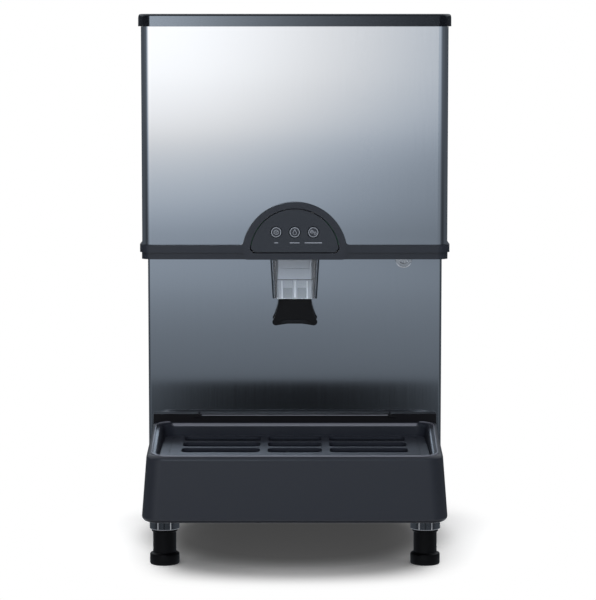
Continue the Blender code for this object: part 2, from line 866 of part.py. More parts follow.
# Ice chute: a tapered square tube from the gate to the cup
def make_ice_chute():
    def ring(z, inset):
        half_width = chute_half_width(z) - inset
        corners = ((-1, chute_front_y + inset), (1, chute_front_y + inset))
        corners += ((1, chute_rear_y - inset), (-1, chute_rear_y - inset))
        return [(side * half_width, y, z) for side, y in corners]

    chute = layers("ice_chute", [ring(chute_mouth_z, 0), ring(chute_top_z, 0)], "white")
    low = chute_mouth_z - overrun
    high = chute_top_z + overrun
    combine(chute, layers("chute_bore_cutter", [ring(low, chute_wall), ring(high, chute_wall)], None))


def make_water_nozzle():
    low = guard_bottom_z + nozzle_lift
    profile = [(nozzle_radius, low), (nozzle_radius, deck_top_z)]
    profile += [(nozzle_bore, deck_top_z), (nozzle_bore, low)]
    turned("water_nozzle", profile, "white", "Z", 12, (0, nozzle_y, 0), closed=True)


# Dispense lever: a flared paddle on an arm that hangs from its pin behind the chute
def make_lever():
    place = (0, lever_pivot_y, lever_pivot_z)
    arm_rear = lever_arm_thick / 2
    arm_front = arm_rear - lever_arm_thick
    paddle_front = arm_front - lever_paddle_lead
    top = lever_top_z - lever_pivot_z
    foot_thick = lever_paddle_thick
    outline = [
        (paddle_front + gap, top - foot_thick),
        (arm_rear, top - foot_thick),
        (arm_rear, 0),
        (arm_front, 0),
        (arm_front, top),
        (paddle_front + gap, top),
    ]
    half_arm = lever_arm_width / 2
    arm = prism("lever_arm", outline, "X", -half_arm, half_arm, None, place)
    bottom = top - lever_height
    half_top = lever_top_width / 2
    half_bottom = lever_bottom_width / 2
    lobe_x = half_bottom - lever_lobe
    lobe_z = bottom + lever_lobe
    right = [(half_top, top), (half_bottom, lobe_z)]
    right += arc((lobe_x, lobe_z), lever_lobe, 0, -90, 4)[1:]
    left = [(-x, z) for x, z in right]
    paddle_outline = left + [(0, bottom + lever_hollow)] + right[::-1]
    rear = paddle_front + lever_paddle_thick
    lever = prism("dispense_lever", paddle_outline, "Y", paddle_front, rear, "black", place)
    combine(lever, arm, "UNION")
    half_hub = half_arm + gap
    combine(lever, rod("lever_hub", lever_hub, -half_hub, half_hub, None, "X", 16, place), "UNION")
    half_bore = half_arm + overrun
    combine(lever, rod("lever_bore_cutter", pin_radius + gap, -half_bore, half_bore, None, "X", 16, place))
    reach = guard_half_width(lever_pivot_z - pin_radius) - guard_wall - gap
    rod("lever_pivot_pin", pin_radius, -reach, reach, "chrome", "X", 16, place)


def make_micro_switch():
    z = lever_pivot_z - plunger_drop
    front = splash_y + sheet + gap
    low = (-switch_width / 2, front, z - switch_height / 2)
    body = box("micro_switch", low, (switch_width / 2, front + switch_depth, z + switch_height / 2), "black")
    tip_y = lever_pivot_y + lever_arm_thick / 2 + gap
    bore_end = tip_y + plunger_length + plunger_bore_end
    place = (0, 0, z)
    bore = rod("plunger_bore_cutter", plunger_radius + gap, front - overrun, bore_end, None, "Y", 12, place)
    combine(body, bore)
    rod("switch_plunger", plunger_radius, 0, plunger_length, "chrome", "Y", 12, (0, tip_y, z))


# Ice gate: a blade that slides across the throat, pulled by a solenoid
def make_gate():
    half_width = gate_frame_width / 2
    front = throat_front_y - gate_frame_margin
    top = on_deck_z + gate_clear_height
    frame = box("gate_frame", (-half_width, front, on_deck_z), (half_width, gate_rear_y, top), "white")
    half_throat = throat_width / 2
    low = (-half_throat, throat_front_y, on_deck_z - overrun)
    combine(frame, box("throat_cutter", low, (half_throat, throat_rear_y, top + overrun), None))
    half_blade = gate_blade_width / 2
    half_thick = gate_blade_thick / 2
    blade_front = throat_front_y - gate_blade_lap
    blade_rear = throat_rear_y + gate_blade_lap
    low = (-half_blade - gap, blade_front - gap, gate_z - half_thick - gap)
    high = (half_blade + gap, gate_rear_y + overrun, gate_z + half_thick + gap)
    combine(frame, box("blade_slot_cutter", low, high, None))
    low = (-half_blade, blade_front, gate_z - half_thick)
    blade = box("ice_gate", low, (half_blade, blade_rear, gate_z + half_thick), "black")
    solenoid_front = blade_rear + gate_travel + solenoid_clearance
    solenoid_rear = solenoid_front + solenoid_length
    place = (0, 0, gate_z)
    rod_end = solenoid_rear - gate_travel
    rod_start = gate_rear_y + gap
    half_tongue = gate_rod_radius - gap
    low = (-half_tongue, blade_rear - overrun, gate_z - half_thick)
    high = (half_tongue, rod_start + overrun, gate_z + half_thick)
    combine(blade, box("gate_tongue", low, high, None), "UNION")
    combine(blade, rod("gate_rod", gate_rod_radius, rod_start, rod_end, None, "Y", 12, place), "UNION")
    half_coil = solenoid_width / 2
    low = (-half_coil, solenoid_front, on_deck_z)
    coil = box("gate_solenoid", low, (half_coil, solenoid_rear, gate_z + half_coil), "zinc")
    bore_radius = gate_rod_radius + gap
    low_y = solenoid_front - overrun
    high_y = solenoid_rear + overrun
    combine(coil, rod("solenoid_bore_cutter", bore_radius, low_y, high_y, None, "Y", 12, place))


# Ice bin: an insulated open box on a skirt, with the throat in its floor
def make_ice_bin():
    half_width = bin_width / 2
    low = (-half_width, bin_front_y, on_deck_z)
    ice_bin = box("ice_bin", low, (half_width, bin_rear_y, bin_top_z), "white")
    half_inner = half_width - bin_wall
    front = bin_front_y + bin_wall
    rear = bin_rear_y - bin_wall
    low = (-half_inner, front, bin_floor_z + bin_wall)
    combine(ice_bin, box("bin_cutter", low, (half_inner, rear, bin_top_z + overrun), None))
    low = (-half_inner, front, on_deck_z - overrun)
    combine(ice_bin, box("skirt_cutter", low, (half_inner, rear, bin_floor_z), None))
    half_throat = throat_width / 2
    low = (-half_throat, throat_front_y, bin_floor_z - overrun)
    high = (half_throat, throat_rear_y, bin_floor_z + bin_wall + overrun)
    combine(ice_bin, box("bin_throat_cutter", low, high, None))
    radius = agitator_shaft + gap
    place = (0, 0, agitator_z)
    low_y = rear - overrun
    combine(ice_bin, rod("shaft_hole_cutter", radius, low_y, bin_rear_y + overrun, None, "Y", 16, place))
    low = (-half_width, bin_front_y, lid_bottom_z)
    lid = box("bin_lid", low, (half_width, bin_rear_y, lid_top_z), "white")
    low, high = channel_mouth_corners()
    low = (*low, lid_bottom_z - overrun)
    combine(lid, box("lid_mouth_cutter", low, (*high, lid_top_z + overrun), None))


# Agitator: a level shaft with crossed arms, driven from behind the bin
def make_agitator():
    half_arm = agitator_arm / 2
    place = (0, 0, agitator_z)
    shaft = rod("agitator", agitator_shaft, agitator_front_y, agitator_rear_y, "chrome", "Y", 16, place)
    run = bin_rear_y - bin_wall - agitator_front_y
    arms = []
    for i in range(agitator_arms):
        y = agitator_front_y + run * (i + 1) / (agitator_arms + 1)
        half_x, half_z = (agitator_reach, half_arm) if i % 2 else (half_arm, agitator_reach)
        arms.append(((-half_x, y - half_arm, -half_z), (half_x, y + half_arm, half_z)))
    combine(shaft, boxes("agitator_arms", arms, None, place), "UNION")
    half_width = gearmotor_width / 2
    front = bin_rear_y + gap
    low = (-half_width, front, agitator_z - half_width)
    high = (half_width, front + gearmotor_length, agitator_z + half_width)
    motor = box("agitator_gearmotor", low, high, "black")
    radius = agitator_shaft + gap
    socket_end = agitator_rear_y + gap
    combine(motor, rod("motor_socket_cutter", radius, front - overrun, socket_end, None, "Y", 16, place))


# Ice maker: gearmotor, insulated evaporator barrel, auger and the channel that carries ice to the bin
def channel_mouth_corners():
    """Mouth of the channel over the bin, as its low and high (x, y) corners."""
    rear = bin_rear_y - bin_wall - channel_mouth_in
    half_width = channel_width / 2 - channel_wall
    return (maker_x - half_width, rear - channel_mouth), (maker_x + half_width, rear)


def make_ice_maker():
    low = (maker_x - drive_width / 2, maker_y - drive_length / 2, carried_z)
    high = (maker_x + drive_width / 2, maker_y + drive_length / 2, drive_top_z)
    drive = box("auger_gearmotor", low, high, "black")
    place = (maker_x, maker_y, 0)
    seat_z = drive_top_z - gearmotor_socket
    socket_top = drive_top_z + overrun
    combine(drive, rod("auger_socket_cutter", auger_core + gap, seat_z, socket_top, None, place=place))
    profile = [
        (barrel_radius, barrel_bottom_z),
        (barrel_radius, barrel_top_z),
        (barrel_bore, barrel_top_z),
        (barrel_bore, barrel_bottom_z),
    ]
    turned("evaporator_barrel", profile, "white", sides=32, place=place, closed=True)
    auger_bottom_z = seat_z + gap
    auger = rod("auger", auger_core, auger_bottom_z, barrel_top_z, "chrome", place=place)
    flight = bmesh.new()
    steps = auger_turns * auger_steps
    rise = barrel_height - 2 * auger_flight
    rings = []
    for i in range(steps + 1):
        turn = 2 * pi * i / auger_steps
        z = barrel_bottom_z + auger_flight / 2 + rise * i / steps
        ring = []
        for radius, lift in ((1, 0), (0, 0), (0, 1), (1, 1)):
            reach = auger_radius if radius else auger_core - auger_flight / 2
            ring.append((reach * cos(turn), reach * sin(turn), z + lift * auger_flight))
        rings.append(ring)
    skin_rings(flight, rings)
    combine(auger, add_object("auger_flight", flight, None, place), "UNION")


def make_ice_channel():
    half_width = channel_width / 2
    half_inner = half_width - channel_wall
    (mouth_x, mouth_front), (mouth_end, mouth_rear) = channel_mouth_corners()
    front = mouth_front - channel_wall
    rise_front = maker_y - half_width
    rear = maker_y + half_width
    under = lid_top_z + gap
    outline = [
        (front, under),
        (rise_front, under),
        (rise_front, channel_bottom_z),
        (rear, channel_bottom_z),
        (rear, channel_top_z),
        (front, channel_top_z),
    ]
    low_x = maker_x - half_width
    channel = prism("ice_transfer_channel", outline, "X", low_x, maker_x + half_width, "white")
    wall = channel_wall
    bore = [
        (mouth_front, under - overrun),
        (mouth_rear, under - overrun),
        (mouth_rear, under + wall),
        (rise_front + wall, under + wall),
        (rise_front + wall, channel_bottom_z - overrun),
        (rear - wall, channel_bottom_z - overrun),
        (rear - wall, channel_top_z - wall),
        (mouth_front, channel_top_z - wall),
    ]
    low_x = maker_x - half_inner
    combine(channel, prism("channel_bore_cutter", bore, "X", low_x, maker_x + half_inner, None))


# Compressor, with the four grommets that it stands on
def make_compressor():
    bottom = compressor_bottom_z
    shoulder = compressor_radius - compressor_flat
    foot_top = bottom + pan_sheet
    profile = [(0, bottom), (compressor_foot, bottom), (compressor_foot, foot_top)]
    profile.append((compressor_radius, foot_top))
    profile += arc((compressor_flat, compressor_top_z - shoulder), shoulder, 0, 90, 4)
    profile.append((0, compressor_top_z))
    compressor = turned("compressor", profile, "black", place=(compressor_x, compressor_y, 0))
    grommets = bmesh.new()
    for turn in (45, 135, 225, 315):
        x = compressor_x + compressor_radius * cos(radians(turn))
        y = compressor_y + compressor_radius * sin(radians(turn))
        profile = [(grommet_radius, carried_z), (grommet_radius, bottom + pan_sheet / 2)]
        turned_shape(grommets, profile, sides=12, place=(x, y, 0))
    combine(compressor, add_object("compressor_grommets", grommets, None), "UNION")


# Condenser with its fan on a shroud, blowing in from the vents of the right side panel
def make_condenser():
    rear = condenser_front_y + condenser_length
    pitch = condenser_length / (2 * condenser_fins + 1)
    outline = [(condenser_inner_x, condenser_front_y)]
    for i in range(condenser_fins):
        y = condenser_front_y + pitch * (2 * i + 1)
        for x, step in ((0, 0), (fin_depth, 0), (fin_depth, pitch), (0, pitch)):
            outline.append((condenser_outer_x - x, y + step))
    outline.insert(1, (condenser_outer_x, condenser_front_y))
    outline += [(condenser_outer_x, rear), (condenser_inner_x, rear)]
    prism("condenser_coil", outline, "Z", carried_z, condenser_top_z, "zinc")
    low = (shroud_inner_x, condenser_front_y, carried_z)
    shroud = box("fan_shroud", low, (shroud_outer_x, rear, condenser_top_z), "black")
    place = (0, condenser_y, fan_z)
    low_x = shroud_inner_x - overrun
    combine(shroud, rod("fan_hole_cutter", fan_hole, low_x, shroud_outer_x + overrun, None, "X", 32, place))


def make_fan():
    place = (0, condenser_y, fan_z)
    rear_x = fan_front_x - fan_width
    hub = rod("fan_blades", fan_hub, rear_x, fan_front_x, "black", "X", 20, place)
    section = ((rear_x, -1), (rear_x + fan_blade, -1), (fan_front_x, 1), (fan_front_x - fan_blade, 1))
    half_tip = fan_radius * vane_tip_share
    tip = sqrt(fan_radius ** 2 - half_tip ** 2)
    vanes = bmesh.new()
    for i in range(fan_count):
        turn = 2 * pi * i / fan_count
        rings = []
        for radius, half_chord in ((fan_hub - fan_blade, fan_hub * vane_root_share), (tip, half_tip)):
            ring = []
            for x, side in section:
                y = radius * cos(turn) - side * half_chord * sin(turn)
                z = radius * sin(turn) + side * half_chord * cos(turn)
                ring.append((x, y, z))
            rings.append(ring)
        skin_rings(vanes, rings)
    vane_object = add_object("fan_vanes", vanes, None, place)
    combine(hub, vane_object, "UNION")
    rear = fan_motor_x - fan_motor_length
    motor = rod("fan_motor", fan_motor_radius, rear, fan_motor_x, "black", "X", 20, place)
    half_width = fan_motor_radius / 2
    low = (rear, condenser_y - half_width, carried_z)
    high = (rear + fan_bracket, condenser_y + half_width, fan_z)
    combine(motor, box("fan_bracket", low, high, None), "UNION")
    foot_high = (rear + fan_motor_length, high[1], carried_z + fan_bracket)
    combine(motor, box("fan_bracket_foot", low, foot_high, None), "UNION")


# Refrigerant lines; the liquid line carries the filter drier
def make_refrigerant_lines():
    cross_z = compressor_top_z + line_clearance
    middle_x = (condenser_inner_x + condenser_outer_x) / 2
    discharge_x = compressor_x - port_out
    discharge_y = compressor_y - port_out
    stub_z = condenser_top_z + gap
    discharge = [
        (discharge_x, discharge_y, compressor_top_z + gap),
        (discharge_x, discharge_y, cross_z),
        (discharge_x, condenser_y, cross_z),
        (middle_x, condenser_y, cross_z),
        (middle_x, condenser_y, stub_z),
    ]
    suction_x = compressor_x + suction_out
    suction_z = cross_z + line_bend
    suction = [
        (suction_x, maker_y, compressor_top_z + gap),
        (suction_x, maker_y, suction_z),
        (maker_x - barrel_radius - gap, maker_y, suction_z),
    ]
    for name, corners in (("discharge_line", discharge), ("suction_line", suction)):
        route = bent_route(corners, line_bend, line_bend_steps)
        pipe(name, route, [line_radius] * len(route), "copper")
    drier_y = condenser_front_y + condenser_length * drier_rear_share
    drier_bottom = stub_z + drier_drop
    drier_top = drier_bottom + drier_length
    neck = drier_radius / 2
    liquid_z = drier_top + line_bend
    corners = [
        (middle_x, drier_y, drier_top),
        (middle_x, drier_y, liquid_z),
        (middle_x, maker_y, liquid_z),
        (maker_x + barrel_radius + gap, maker_y, liquid_z),
    ]
    route = [(middle_x, drier_y, z) for z in (stub_z, drier_bottom, drier_bottom + neck, drier_top - neck)]
    radii = [line_radius, line_radius, drier_radius, drier_radius]
    upper = bent_route(corners, line_bend / 2, line_bend_steps)
    pipe("filter_drier", route + upper, radii + [line_radius] * len(upper), "copper")


# Water reservoir with its float arm, fed by the inlet valve on the rear panel
def make_reservoir():
    right_x = tank_left_x + tank_width
    front = tank_rear_y - tank_length
    high = (right_x, tank_rear_y, tank_top_z)
    tank = box("water_reservoir", (tank_left_x, front, on_deck_z), high, "white")
    low = (tank_left_x + tank_wall, front + tank_wall, on_deck_z + tank_wall)
    high = (right_x - tank_wall, tank_rear_y - tank_wall, tank_top_z + overrun)
    combine(tank, box("reservoir_cutter", low, high, None))
    place = (tank_x, tank_rear_y - tank_wall - gap - float_hub, tank_top_z - float_drop)
    half_arm = float_arm_thick / 2
    hub = rod("float_arm", float_hub, -half_arm * 2, half_arm * 2, "white", "X", 12, place)
    arm = [(-half_arm, -half_arm), (half_arm, half_arm)]
    arm.append((half_arm - float_reach, half_arm - float_sink))
    arm.append((-half_arm - float_reach, -half_arm - float_sink))
    combine(hub, prism("float_lever", arm, "X", -half_arm, half_arm, None, place), "UNION")
    steps = 8
    profile = [(0, -float_radius)]
    for radius, height in arc((0, 0), float_radius, -90, 90, steps)[1:-1]:
        profile.append((radius, height))
    profile.append((0, float_radius))
    ball_place = (place[0], place[1] - float_reach, place[2] - float_sink)
    combine(hub, turned("float_ball", profile, None, sides=16, place=ball_place), "UNION")
    hose_z = on_deck_z + hose_rise
    ends = [(right_x - tank_wall / 2, maker_y, hose_z), (maker_x - barrel_radius - gap, maker_y, hose_z)]
    combine(tank, pipe("reservoir_hose", ends, [hose_radius] * 2, None), "UNION")


def make_inlet_valve():
    half_width = valve_width / 2
    rear = inner_rear_y
    low = (tank_x - half_width, rear - valve_length, valve_z - half_width)
    valve = box("water_inlet_valve", low, (tank_x + half_width, rear, valve_z + half_width), "white")
    place = (tank_x, 0, valve_z)
    end = rear_y + fitting_reach
    combine(valve, rod("inlet_fitting", fitting_radius, rear - overrun, end, None, "Y", 16, place), "UNION")
    combine(valve, rod("inlet_bore_cutter", fitting_bore, rear, end + overrun, None, "Y", 16, place))
    front = tank_rear_y + gap
    nipple = rod("valve_nipple", nipple_radius, front, low[1] + overrun, None, "Y", 12, place)
    combine(valve, nipple, "UNION")


# Drain hose from the tray's spigot, with its moulded end through the rear panel
def make_drain():
    start_y = splash_y + drain_spigot + gap
    exit_z = drain_z - drain_fall
    fitting_y = inner_rear_y - drain_fitting_inside
    corners = [
        (drain_x, start_y, drain_z),
        (drain_x, start_y + 2 * drain_bend, drain_z),
        (drain_x, fitting_y - 2 * drain_bend, exit_z),
        (drain_x, fitting_y, exit_z),
    ]
    route = bent_route(corners, drain_bend, line_bend_steps)
    radii = [drain_radius] * len(route)
    end_y = rear_y + fitting_reach
    flange = fitting_radius + sheet
    flange_y = inner_rear_y - floor_sheet
    for y, radius in (
        (flange_y - sheet, drain_radius),
        (flange_y, flange),
        (inner_rear_y - gap, flange),
        (inner_rear_y, fitting_radius),
        (end_y, fitting_radius),
    ):
        route.append((drain_x, y, exit_z))
        radii.append(radius)
    hose = pipe("drain_hose", route, radii, "rubber")
    place = (drain_x, 0, exit_z)
    combine(hose, rod("drain_bore_cutter", drain_bore, inner_rear_y, end_y + overrun, None, "Y", 12, place))


# Drip tray: moulding with a sloping rim, a stepped basin and a raised strip along the splash panel
def tray_outline(lean_share, inset):
    """Outline of the tray, moved in by a share of its lean and by an inset."""
    front = tray_front_y + tray_front_lean * lean_share + inset
    rear = tray_rear_y
    points = []
    plan = arc((0, 0), tray_corner, 180, 270, 5)
    half_front = tray_front_width / 2 - tray_lean * lean_share - inset
    half_rear = tray_rear_width / 2 - tray_rear_lean * lean_share - inset
    for side in (-1, 1):
        corner = [(-half_front + tray_corner + x, front + tray_corner + y) for x, y in plan]
        stretch = [(-half_rear, rear)] + corner
        if side > 0:
            stretch = [(-x, y) for x, y in stretch[::-1]]
        points += stretch
    return points


def rim_z(y):
    return tray_rim_z + tray_rear_rise * (y - tray_front_y) / (tray_rear_y - tray_front_y)


def foot_z(y):
    return tray_bottom_z - tray_front_drop * (tray_rear_y - y) / (tray_rear_y - tray_front_y)


def make_drip_tray():
    foot = tray_outline(0, rim_round)
    foot_edge = tray_outline(0, 0)
    rim_edge = tray_outline(1, 0)
    rim = tray_outline(1, rim_round)
    rings = [[(x, y, foot_z(y)) for x, y in foot]]
    rings.append([(x, y, foot_z(y) + rim_round) for x, y in foot_edge])
    rings.append([(x, y, rim_z(y) - rim_round) for x, y in rim_edge])
    rings.append([(x, y, rim_z(y)) for x, y in rim])
    tray = layers("drip_tray", rings, "black")
    half_top = tray_front_width / 2 - tray_lean - rim_side
    front = tray_front_y + rim_front
    rear = tray_rear_y - rim_rear
    top = tray_rear_z + overrun
    pocket_z = grille_top_z - grille_thick - gap
    for name, inset, bottom in (
        ("grille_pocket_cutter", 0, pocket_z),
        ("basin_cutter", grille_ledge, tray_rim_z - basin_depth),
    ):
        low = (-half_top + inset, front + inset)
        outline = rounded(low, (half_top - inset, rear - inset), tray_corner - rim_front / 2)
        combine(tray, prism(name, outline, "Z", bottom, top, None))
    floor_z = tray_rim_z - basin_depth - tray_wall
    half_under = tray_front_width / 2 - tray_lean - tray_wall - rim_round
    low = (-half_under, tray_front_y + tray_wall + rim_round)
    under = rounded(low, (half_under, tray_rear_y - tray_wall), tray_corner)
    low_z = tray_bottom_z - tray_front_drop - overrun
    combine(tray, prism("tray_underside_cutter", under, "Z", low_z, floor_z, None))
    half_raised = tray_front_width * upstand_centre_share / 2
    low_z = tray_rim_z
    side_z = tray_rear_z + upstand_rise
    top_z = tray_rear_z + upstand_centre_rise
    step = upstand_centre_rise - upstand_rise
    right = [(half_top, low_z), (half_top, side_z), (half_raised + step, side_z), (half_raised, top_z)]
    strip = right + [(-x, z) for x, z in right[::-1]]
    strip_front = tray_rear_y - upstand_thick
    combine(tray, prism("tray_upstand", strip, "Y", strip_front, tray_rear_y, None), "UNION")
    place = (drain_x, 0, drain_z)
    spigot = rod("tray_spigot", drain_radius, rear, splash_y + drain_spigot, None, "Y", 16, place)
    combine(tray, spigot, "UNION")
    bore_front = rear - grille_ledge - overrun
    bore_rear = splash_y + drain_spigot + overrun
    combine(tray, rod("spigot_bore_cutter", drain_bore, bore_front, bore_rear, None, "Y", 12, place))


def make_drip_grille():
    half_width = tray_front_width / 2 - tray_lean - rim_side - gap
    front = tray_front_y + rim_front + gap
    rear = tray_rear_y - rim_rear - gap
    radius = tray_corner - rim_front / 2 - gap
    outline = rounded((-half_width, front), (half_width, rear), radius)
    bottom = grille_top_z - grille_thick
    grille = prism("drip_grille", outline, "Z", bottom, grille_top_z, "black")
    slots = bmesh.new()
    middle_y = (front + rear) / 2 + slot_set_back
    side_x = slot_centre_width / 2 + slot_space
    spans = ((-slot_centre_width / 2, slot_centre_width / 2), (side_x, side_x + slot_side_width))
    spans += ((-side_x - slot_side_width, -side_x),)
    for row in range(slot_rows):
        y = middle_y + (row - (slot_rows - 1) / 2) * slot_pitch
        for low_x, high_x in spans:
            low = (low_x, y - slot_length / 2)
            slot = rounded(low, (high_x, y + slot_length / 2), slot_corner, 2)
            rings = [[(u, v, z) for u, v in slot] for z in (bottom - overrun, grille_top_z + overrun)]
            skin_rings(slots, rings)
    combine(grille, add_object("grille_slot_cutter", slots, None))


# Key lock: a flanged barrel through the splash panel with a turning plug
def make_key_lock():
    place = (lock_x, 0, lock_z)
    front = splash_y - gap - lock_flange
    bore_end = front + plug_length - plug_proud + gap
    profile = [
        (0, front),
        (lock_radius - sheet, front),
        (lock_radius, front + sheet),
        (lock_radius, splash_y - gap),
        (lock_barrel, splash_y - gap),
        (lock_barrel, splash_y + lock_barrel_length),
        (0, splash_y + lock_barrel_length),
    ]
    body = turned("key_lock_body", profile, "chrome", "Y", 24, place)
    combine(body, rod("plug_bore_cutter", plug_radius + gap, front - overrun, bore_end, None, "Y", 24, place))
    place = (lock_x, front - plug_proud, lock_z)
    plug = rod("key_lock_plug", plug_radius, 0, plug_length, "chrome", "Y", 24, place)
    half_slot = key_slot_width / 2
    low = (-half_slot, -overrun, -key_slot_length / 2)
    high = (half_slot, key_slot_depth, key_slot_length / 2)
    combine(plug, box("key_slot_cutter", low, high, None, place))


# Legs: bright sleeves under the base, each with an adjustable black foot
def leg_places():
    return [
        ("front_left", -leg_x, leg_front_y),
        ("front_right", leg_x, leg_front_y),
        ("rear_left", -leg_x, leg_rear_y),
        ("rear_right", leg_x, leg_rear_y),
    ]


def make_legs():
    bore = column_radius + gap
    roof_z = sleeve_top_z - sleeve_roof
    column_top = roof_z - column_head
    sleeve_profile = [
        (0, sleeve_bottom_z),
        (sleeve_radius - sleeve_chamfer, sleeve_bottom_z),
        (sleeve_radius, sleeve_bottom_z + sleeve_chamfer),
        (sleeve_radius, sleeve_top_z),
        (0, sleeve_top_z),
    ]
    foot_profile = [
        (0, 0),
        (foot_radius - edge_round, 0),
        (foot_radius, edge_round),
        (foot_radius, foot_flange),
        (column_radius, foot_flange),
        (column_radius, column_top),
        (0, column_top),
    ]
    for name, x, y in leg_places():
        place = (x, y, 0)
        sleeve = turned(name + "_leg", sleeve_profile, "chrome", sides=20, place=place)
        low = sleeve_bottom_z - overrun
        combine(sleeve, rod(name + "_bore_cutter", bore, low, roof_z, None, sides=20, place=place))
        turned(name + "_foot", foot_profile, "rubber", sides=20, place=place)


# Control box, power inlet and rocker switch
def make_electrical():
    low_x = box_side - inner_x
    front = splash_y + box_front
    high = (low_x + box_width, front + box_length, carried_z + box_height)
    box("control_box", (low_x, front, carried_z), high, "zinc")
    half_width = inlet_width / 2
    half_height = inlet_height / 2
    front = rear_y - inlet_depth
    flange_y = rear_y + gap
    low = (inlet_x - half_width, front, inlet_z - half_height)
    high = (inlet_x + half_width, flange_y + inlet_flange, inlet_z + half_height)
    inlet = box("power_inlet", low, high, "black")
    out = inlet_flange_out
    low = (inlet_x - half_width - out, flange_y, inlet_z - half_height - out)
    high = (inlet_x + half_width + out, flange_y + inlet_flange, inlet_z + half_height + out)
    combine(inlet, box("inlet_flange", low, high, None), "UNION")
    face_y = flange_y + inlet_flange
    socket_z = inlet_z - rocker_rise
    low = (inlet_x - socket_width / 2, face_y - socket_depth, socket_z - socket_height / 2)
    high = (inlet_x + socket_width / 2, face_y + overrun, socket_z + socket_height / 2)
    combine(inlet, box("socket_cutter", low, high, None))
    rocker_z = inlet_z + rocker_rise
    reach = rocker_radius + gap
    rocker_y = face_y - rocker_radius / 2
    low = (inlet_x - rocker_width / 2 - gap, rocker_y - reach, rocker_z - reach)
    high = (inlet_x + rocker_width / 2 + gap, face_y + overrun, rocker_z + reach)
    combine(inlet, box("rocker_recess_cutter", low, high, None))
    valley = rocker_radius * cos(radians(rocker_face)) - rocker_notch
    outline = arc((0, 0), valley, rocker_tilt, rocker_tilt, 1)[:1]
    outline += arc((0, 0), rocker_radius, rocker_tilt + rocker_face, rocker_tilt + 360 - rocker_face, 12)
    place = (inlet_x, rocker_y, rocker_z)
    prism("power_switch", outline, "X", -rocker_width / 2, rocker_width / 2, "black", place)


# Top cover: gloss black moulding that overlaps the body, hollow underneath
def make_top_cover():
    rings = []
    for inset, z in ((0, cap_bottom_z), (0, top_z - cap_round), (cap_round, top_z)):
        half_width = half_body + cap_side - inset
        low = (-half_width, front_y - cap_front + inset)
        outline = rounded(low, (half_width, rear_y + cap_rear - inset), cap_corner - inset, 5)
        rings.append([(x, y, z) for x, y in outline])
    cover = layers("top_cover", rings, "gloss_black")
    half_width = half_body + cap_side - cap_rim
    low = (-half_width, front_y - cap_front + cap_rim)
    high = (half_width, rear_y + cap_rear - cap_rim)
    outline = rounded(low, high, cap_corner - cap_rim / 2)
    combine(cover, prism("cover_cutter", outline, "Z", cap_bottom_z - overrun, top_z - cap_wall, None))


make_base_pan()
make_side_panels()
make_rear_panel()
make_upper_front_panel()
make_splash_panel()
make_trim_band()
make_controls()
make_floor_and_deck()
make_chute_guard()
make_ice_chute()
make_water_nozzle()
make_lever()
make_micro_switch()
make_gate()
make_ice_bin()
make_agitator()
make_ice_maker()
make_ice_channel()
make_compressor()
make_condenser()
make_fan()
make_refrigerant_lines()
make_reservoir()
make_inlet_valve()
make_drain()
make_drip_tray()
make_drip_grille()
make_key_lock()
make_legs()
make_electrical()
make_top_cover()
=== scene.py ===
# Countertop ice dispenser: the looks of each visible piece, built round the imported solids.
import bmesh
import bpy
from math import asin, cos, pi, radians, sin, sqrt
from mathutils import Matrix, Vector


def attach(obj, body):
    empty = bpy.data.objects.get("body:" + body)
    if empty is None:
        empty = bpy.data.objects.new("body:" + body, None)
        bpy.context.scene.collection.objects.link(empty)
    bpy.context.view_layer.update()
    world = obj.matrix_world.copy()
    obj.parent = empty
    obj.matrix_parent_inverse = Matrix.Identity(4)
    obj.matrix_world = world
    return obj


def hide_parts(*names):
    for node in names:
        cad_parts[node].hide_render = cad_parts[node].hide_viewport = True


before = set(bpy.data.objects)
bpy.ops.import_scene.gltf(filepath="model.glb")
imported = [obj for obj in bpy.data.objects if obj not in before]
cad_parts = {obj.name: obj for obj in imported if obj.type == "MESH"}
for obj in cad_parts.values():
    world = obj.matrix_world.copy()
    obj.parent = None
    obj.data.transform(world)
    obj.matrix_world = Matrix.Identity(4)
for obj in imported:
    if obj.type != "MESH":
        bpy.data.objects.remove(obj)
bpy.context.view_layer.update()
scene = bpy.context.scene


# Camera: a long lens straight in front, level with the top of the machine and looking slightly down.
# It stands about 3.2 m from the upper housing.
camera_place = (0.0044, -3.4618, 0.7498)
camera_pitch, camera_lens, camera_rise = 5.767, 144.49, -0.04
camera = bpy.data.objects.new("camera", bpy.data.cameras.new("camera"))
scene.collection.objects.link(camera)
camera.location = camera_place
camera.rotation_euler = (radians(90 - camera_pitch), 0, 0)
camera.data.lens = camera_lens
camera.data.shift_y = camera_rise
camera.data.clip_end = 100
scene.camera = camera
scene.view_settings.view_transform = "Standard"


# Surroundings: a room lit from above. Steel and gloss see it as a graded studio, dim low down in front and
# at both sides, with a bright strip in each side, a pale table below, and a soft box high in front that fades
# to the right. The camera sees plain white.
def link(*pairs):
    for start, end in pairs:
        start.id_data.links.new(start, end)


def preset(node, **values):
    """Values for a node's inputs, whose names have _ for each space."""
    for name, value in values.items():
        node.inputs[name.replace("_", " ")].default_value = value
    return node


def add_node(tree, kind, **values):
    return preset(tree.nodes.new("ShaderNode" + kind), **values)


def math_node(operation, *values):
    tree = next(value.id_data for value in values if not isinstance(value, (int, float)))
    node = add_node(tree, "Math")
    node.operation = operation
    for socket, value in zip(node.inputs, values):
        if isinstance(value, (int, float)):
            socket.default_value = value
        else:
            link((value, socket))
    return node.outputs[0]


def times(product, *factors):
    for factor in factors:
        product = math_node("MULTIPLY", product, factor)
    return product


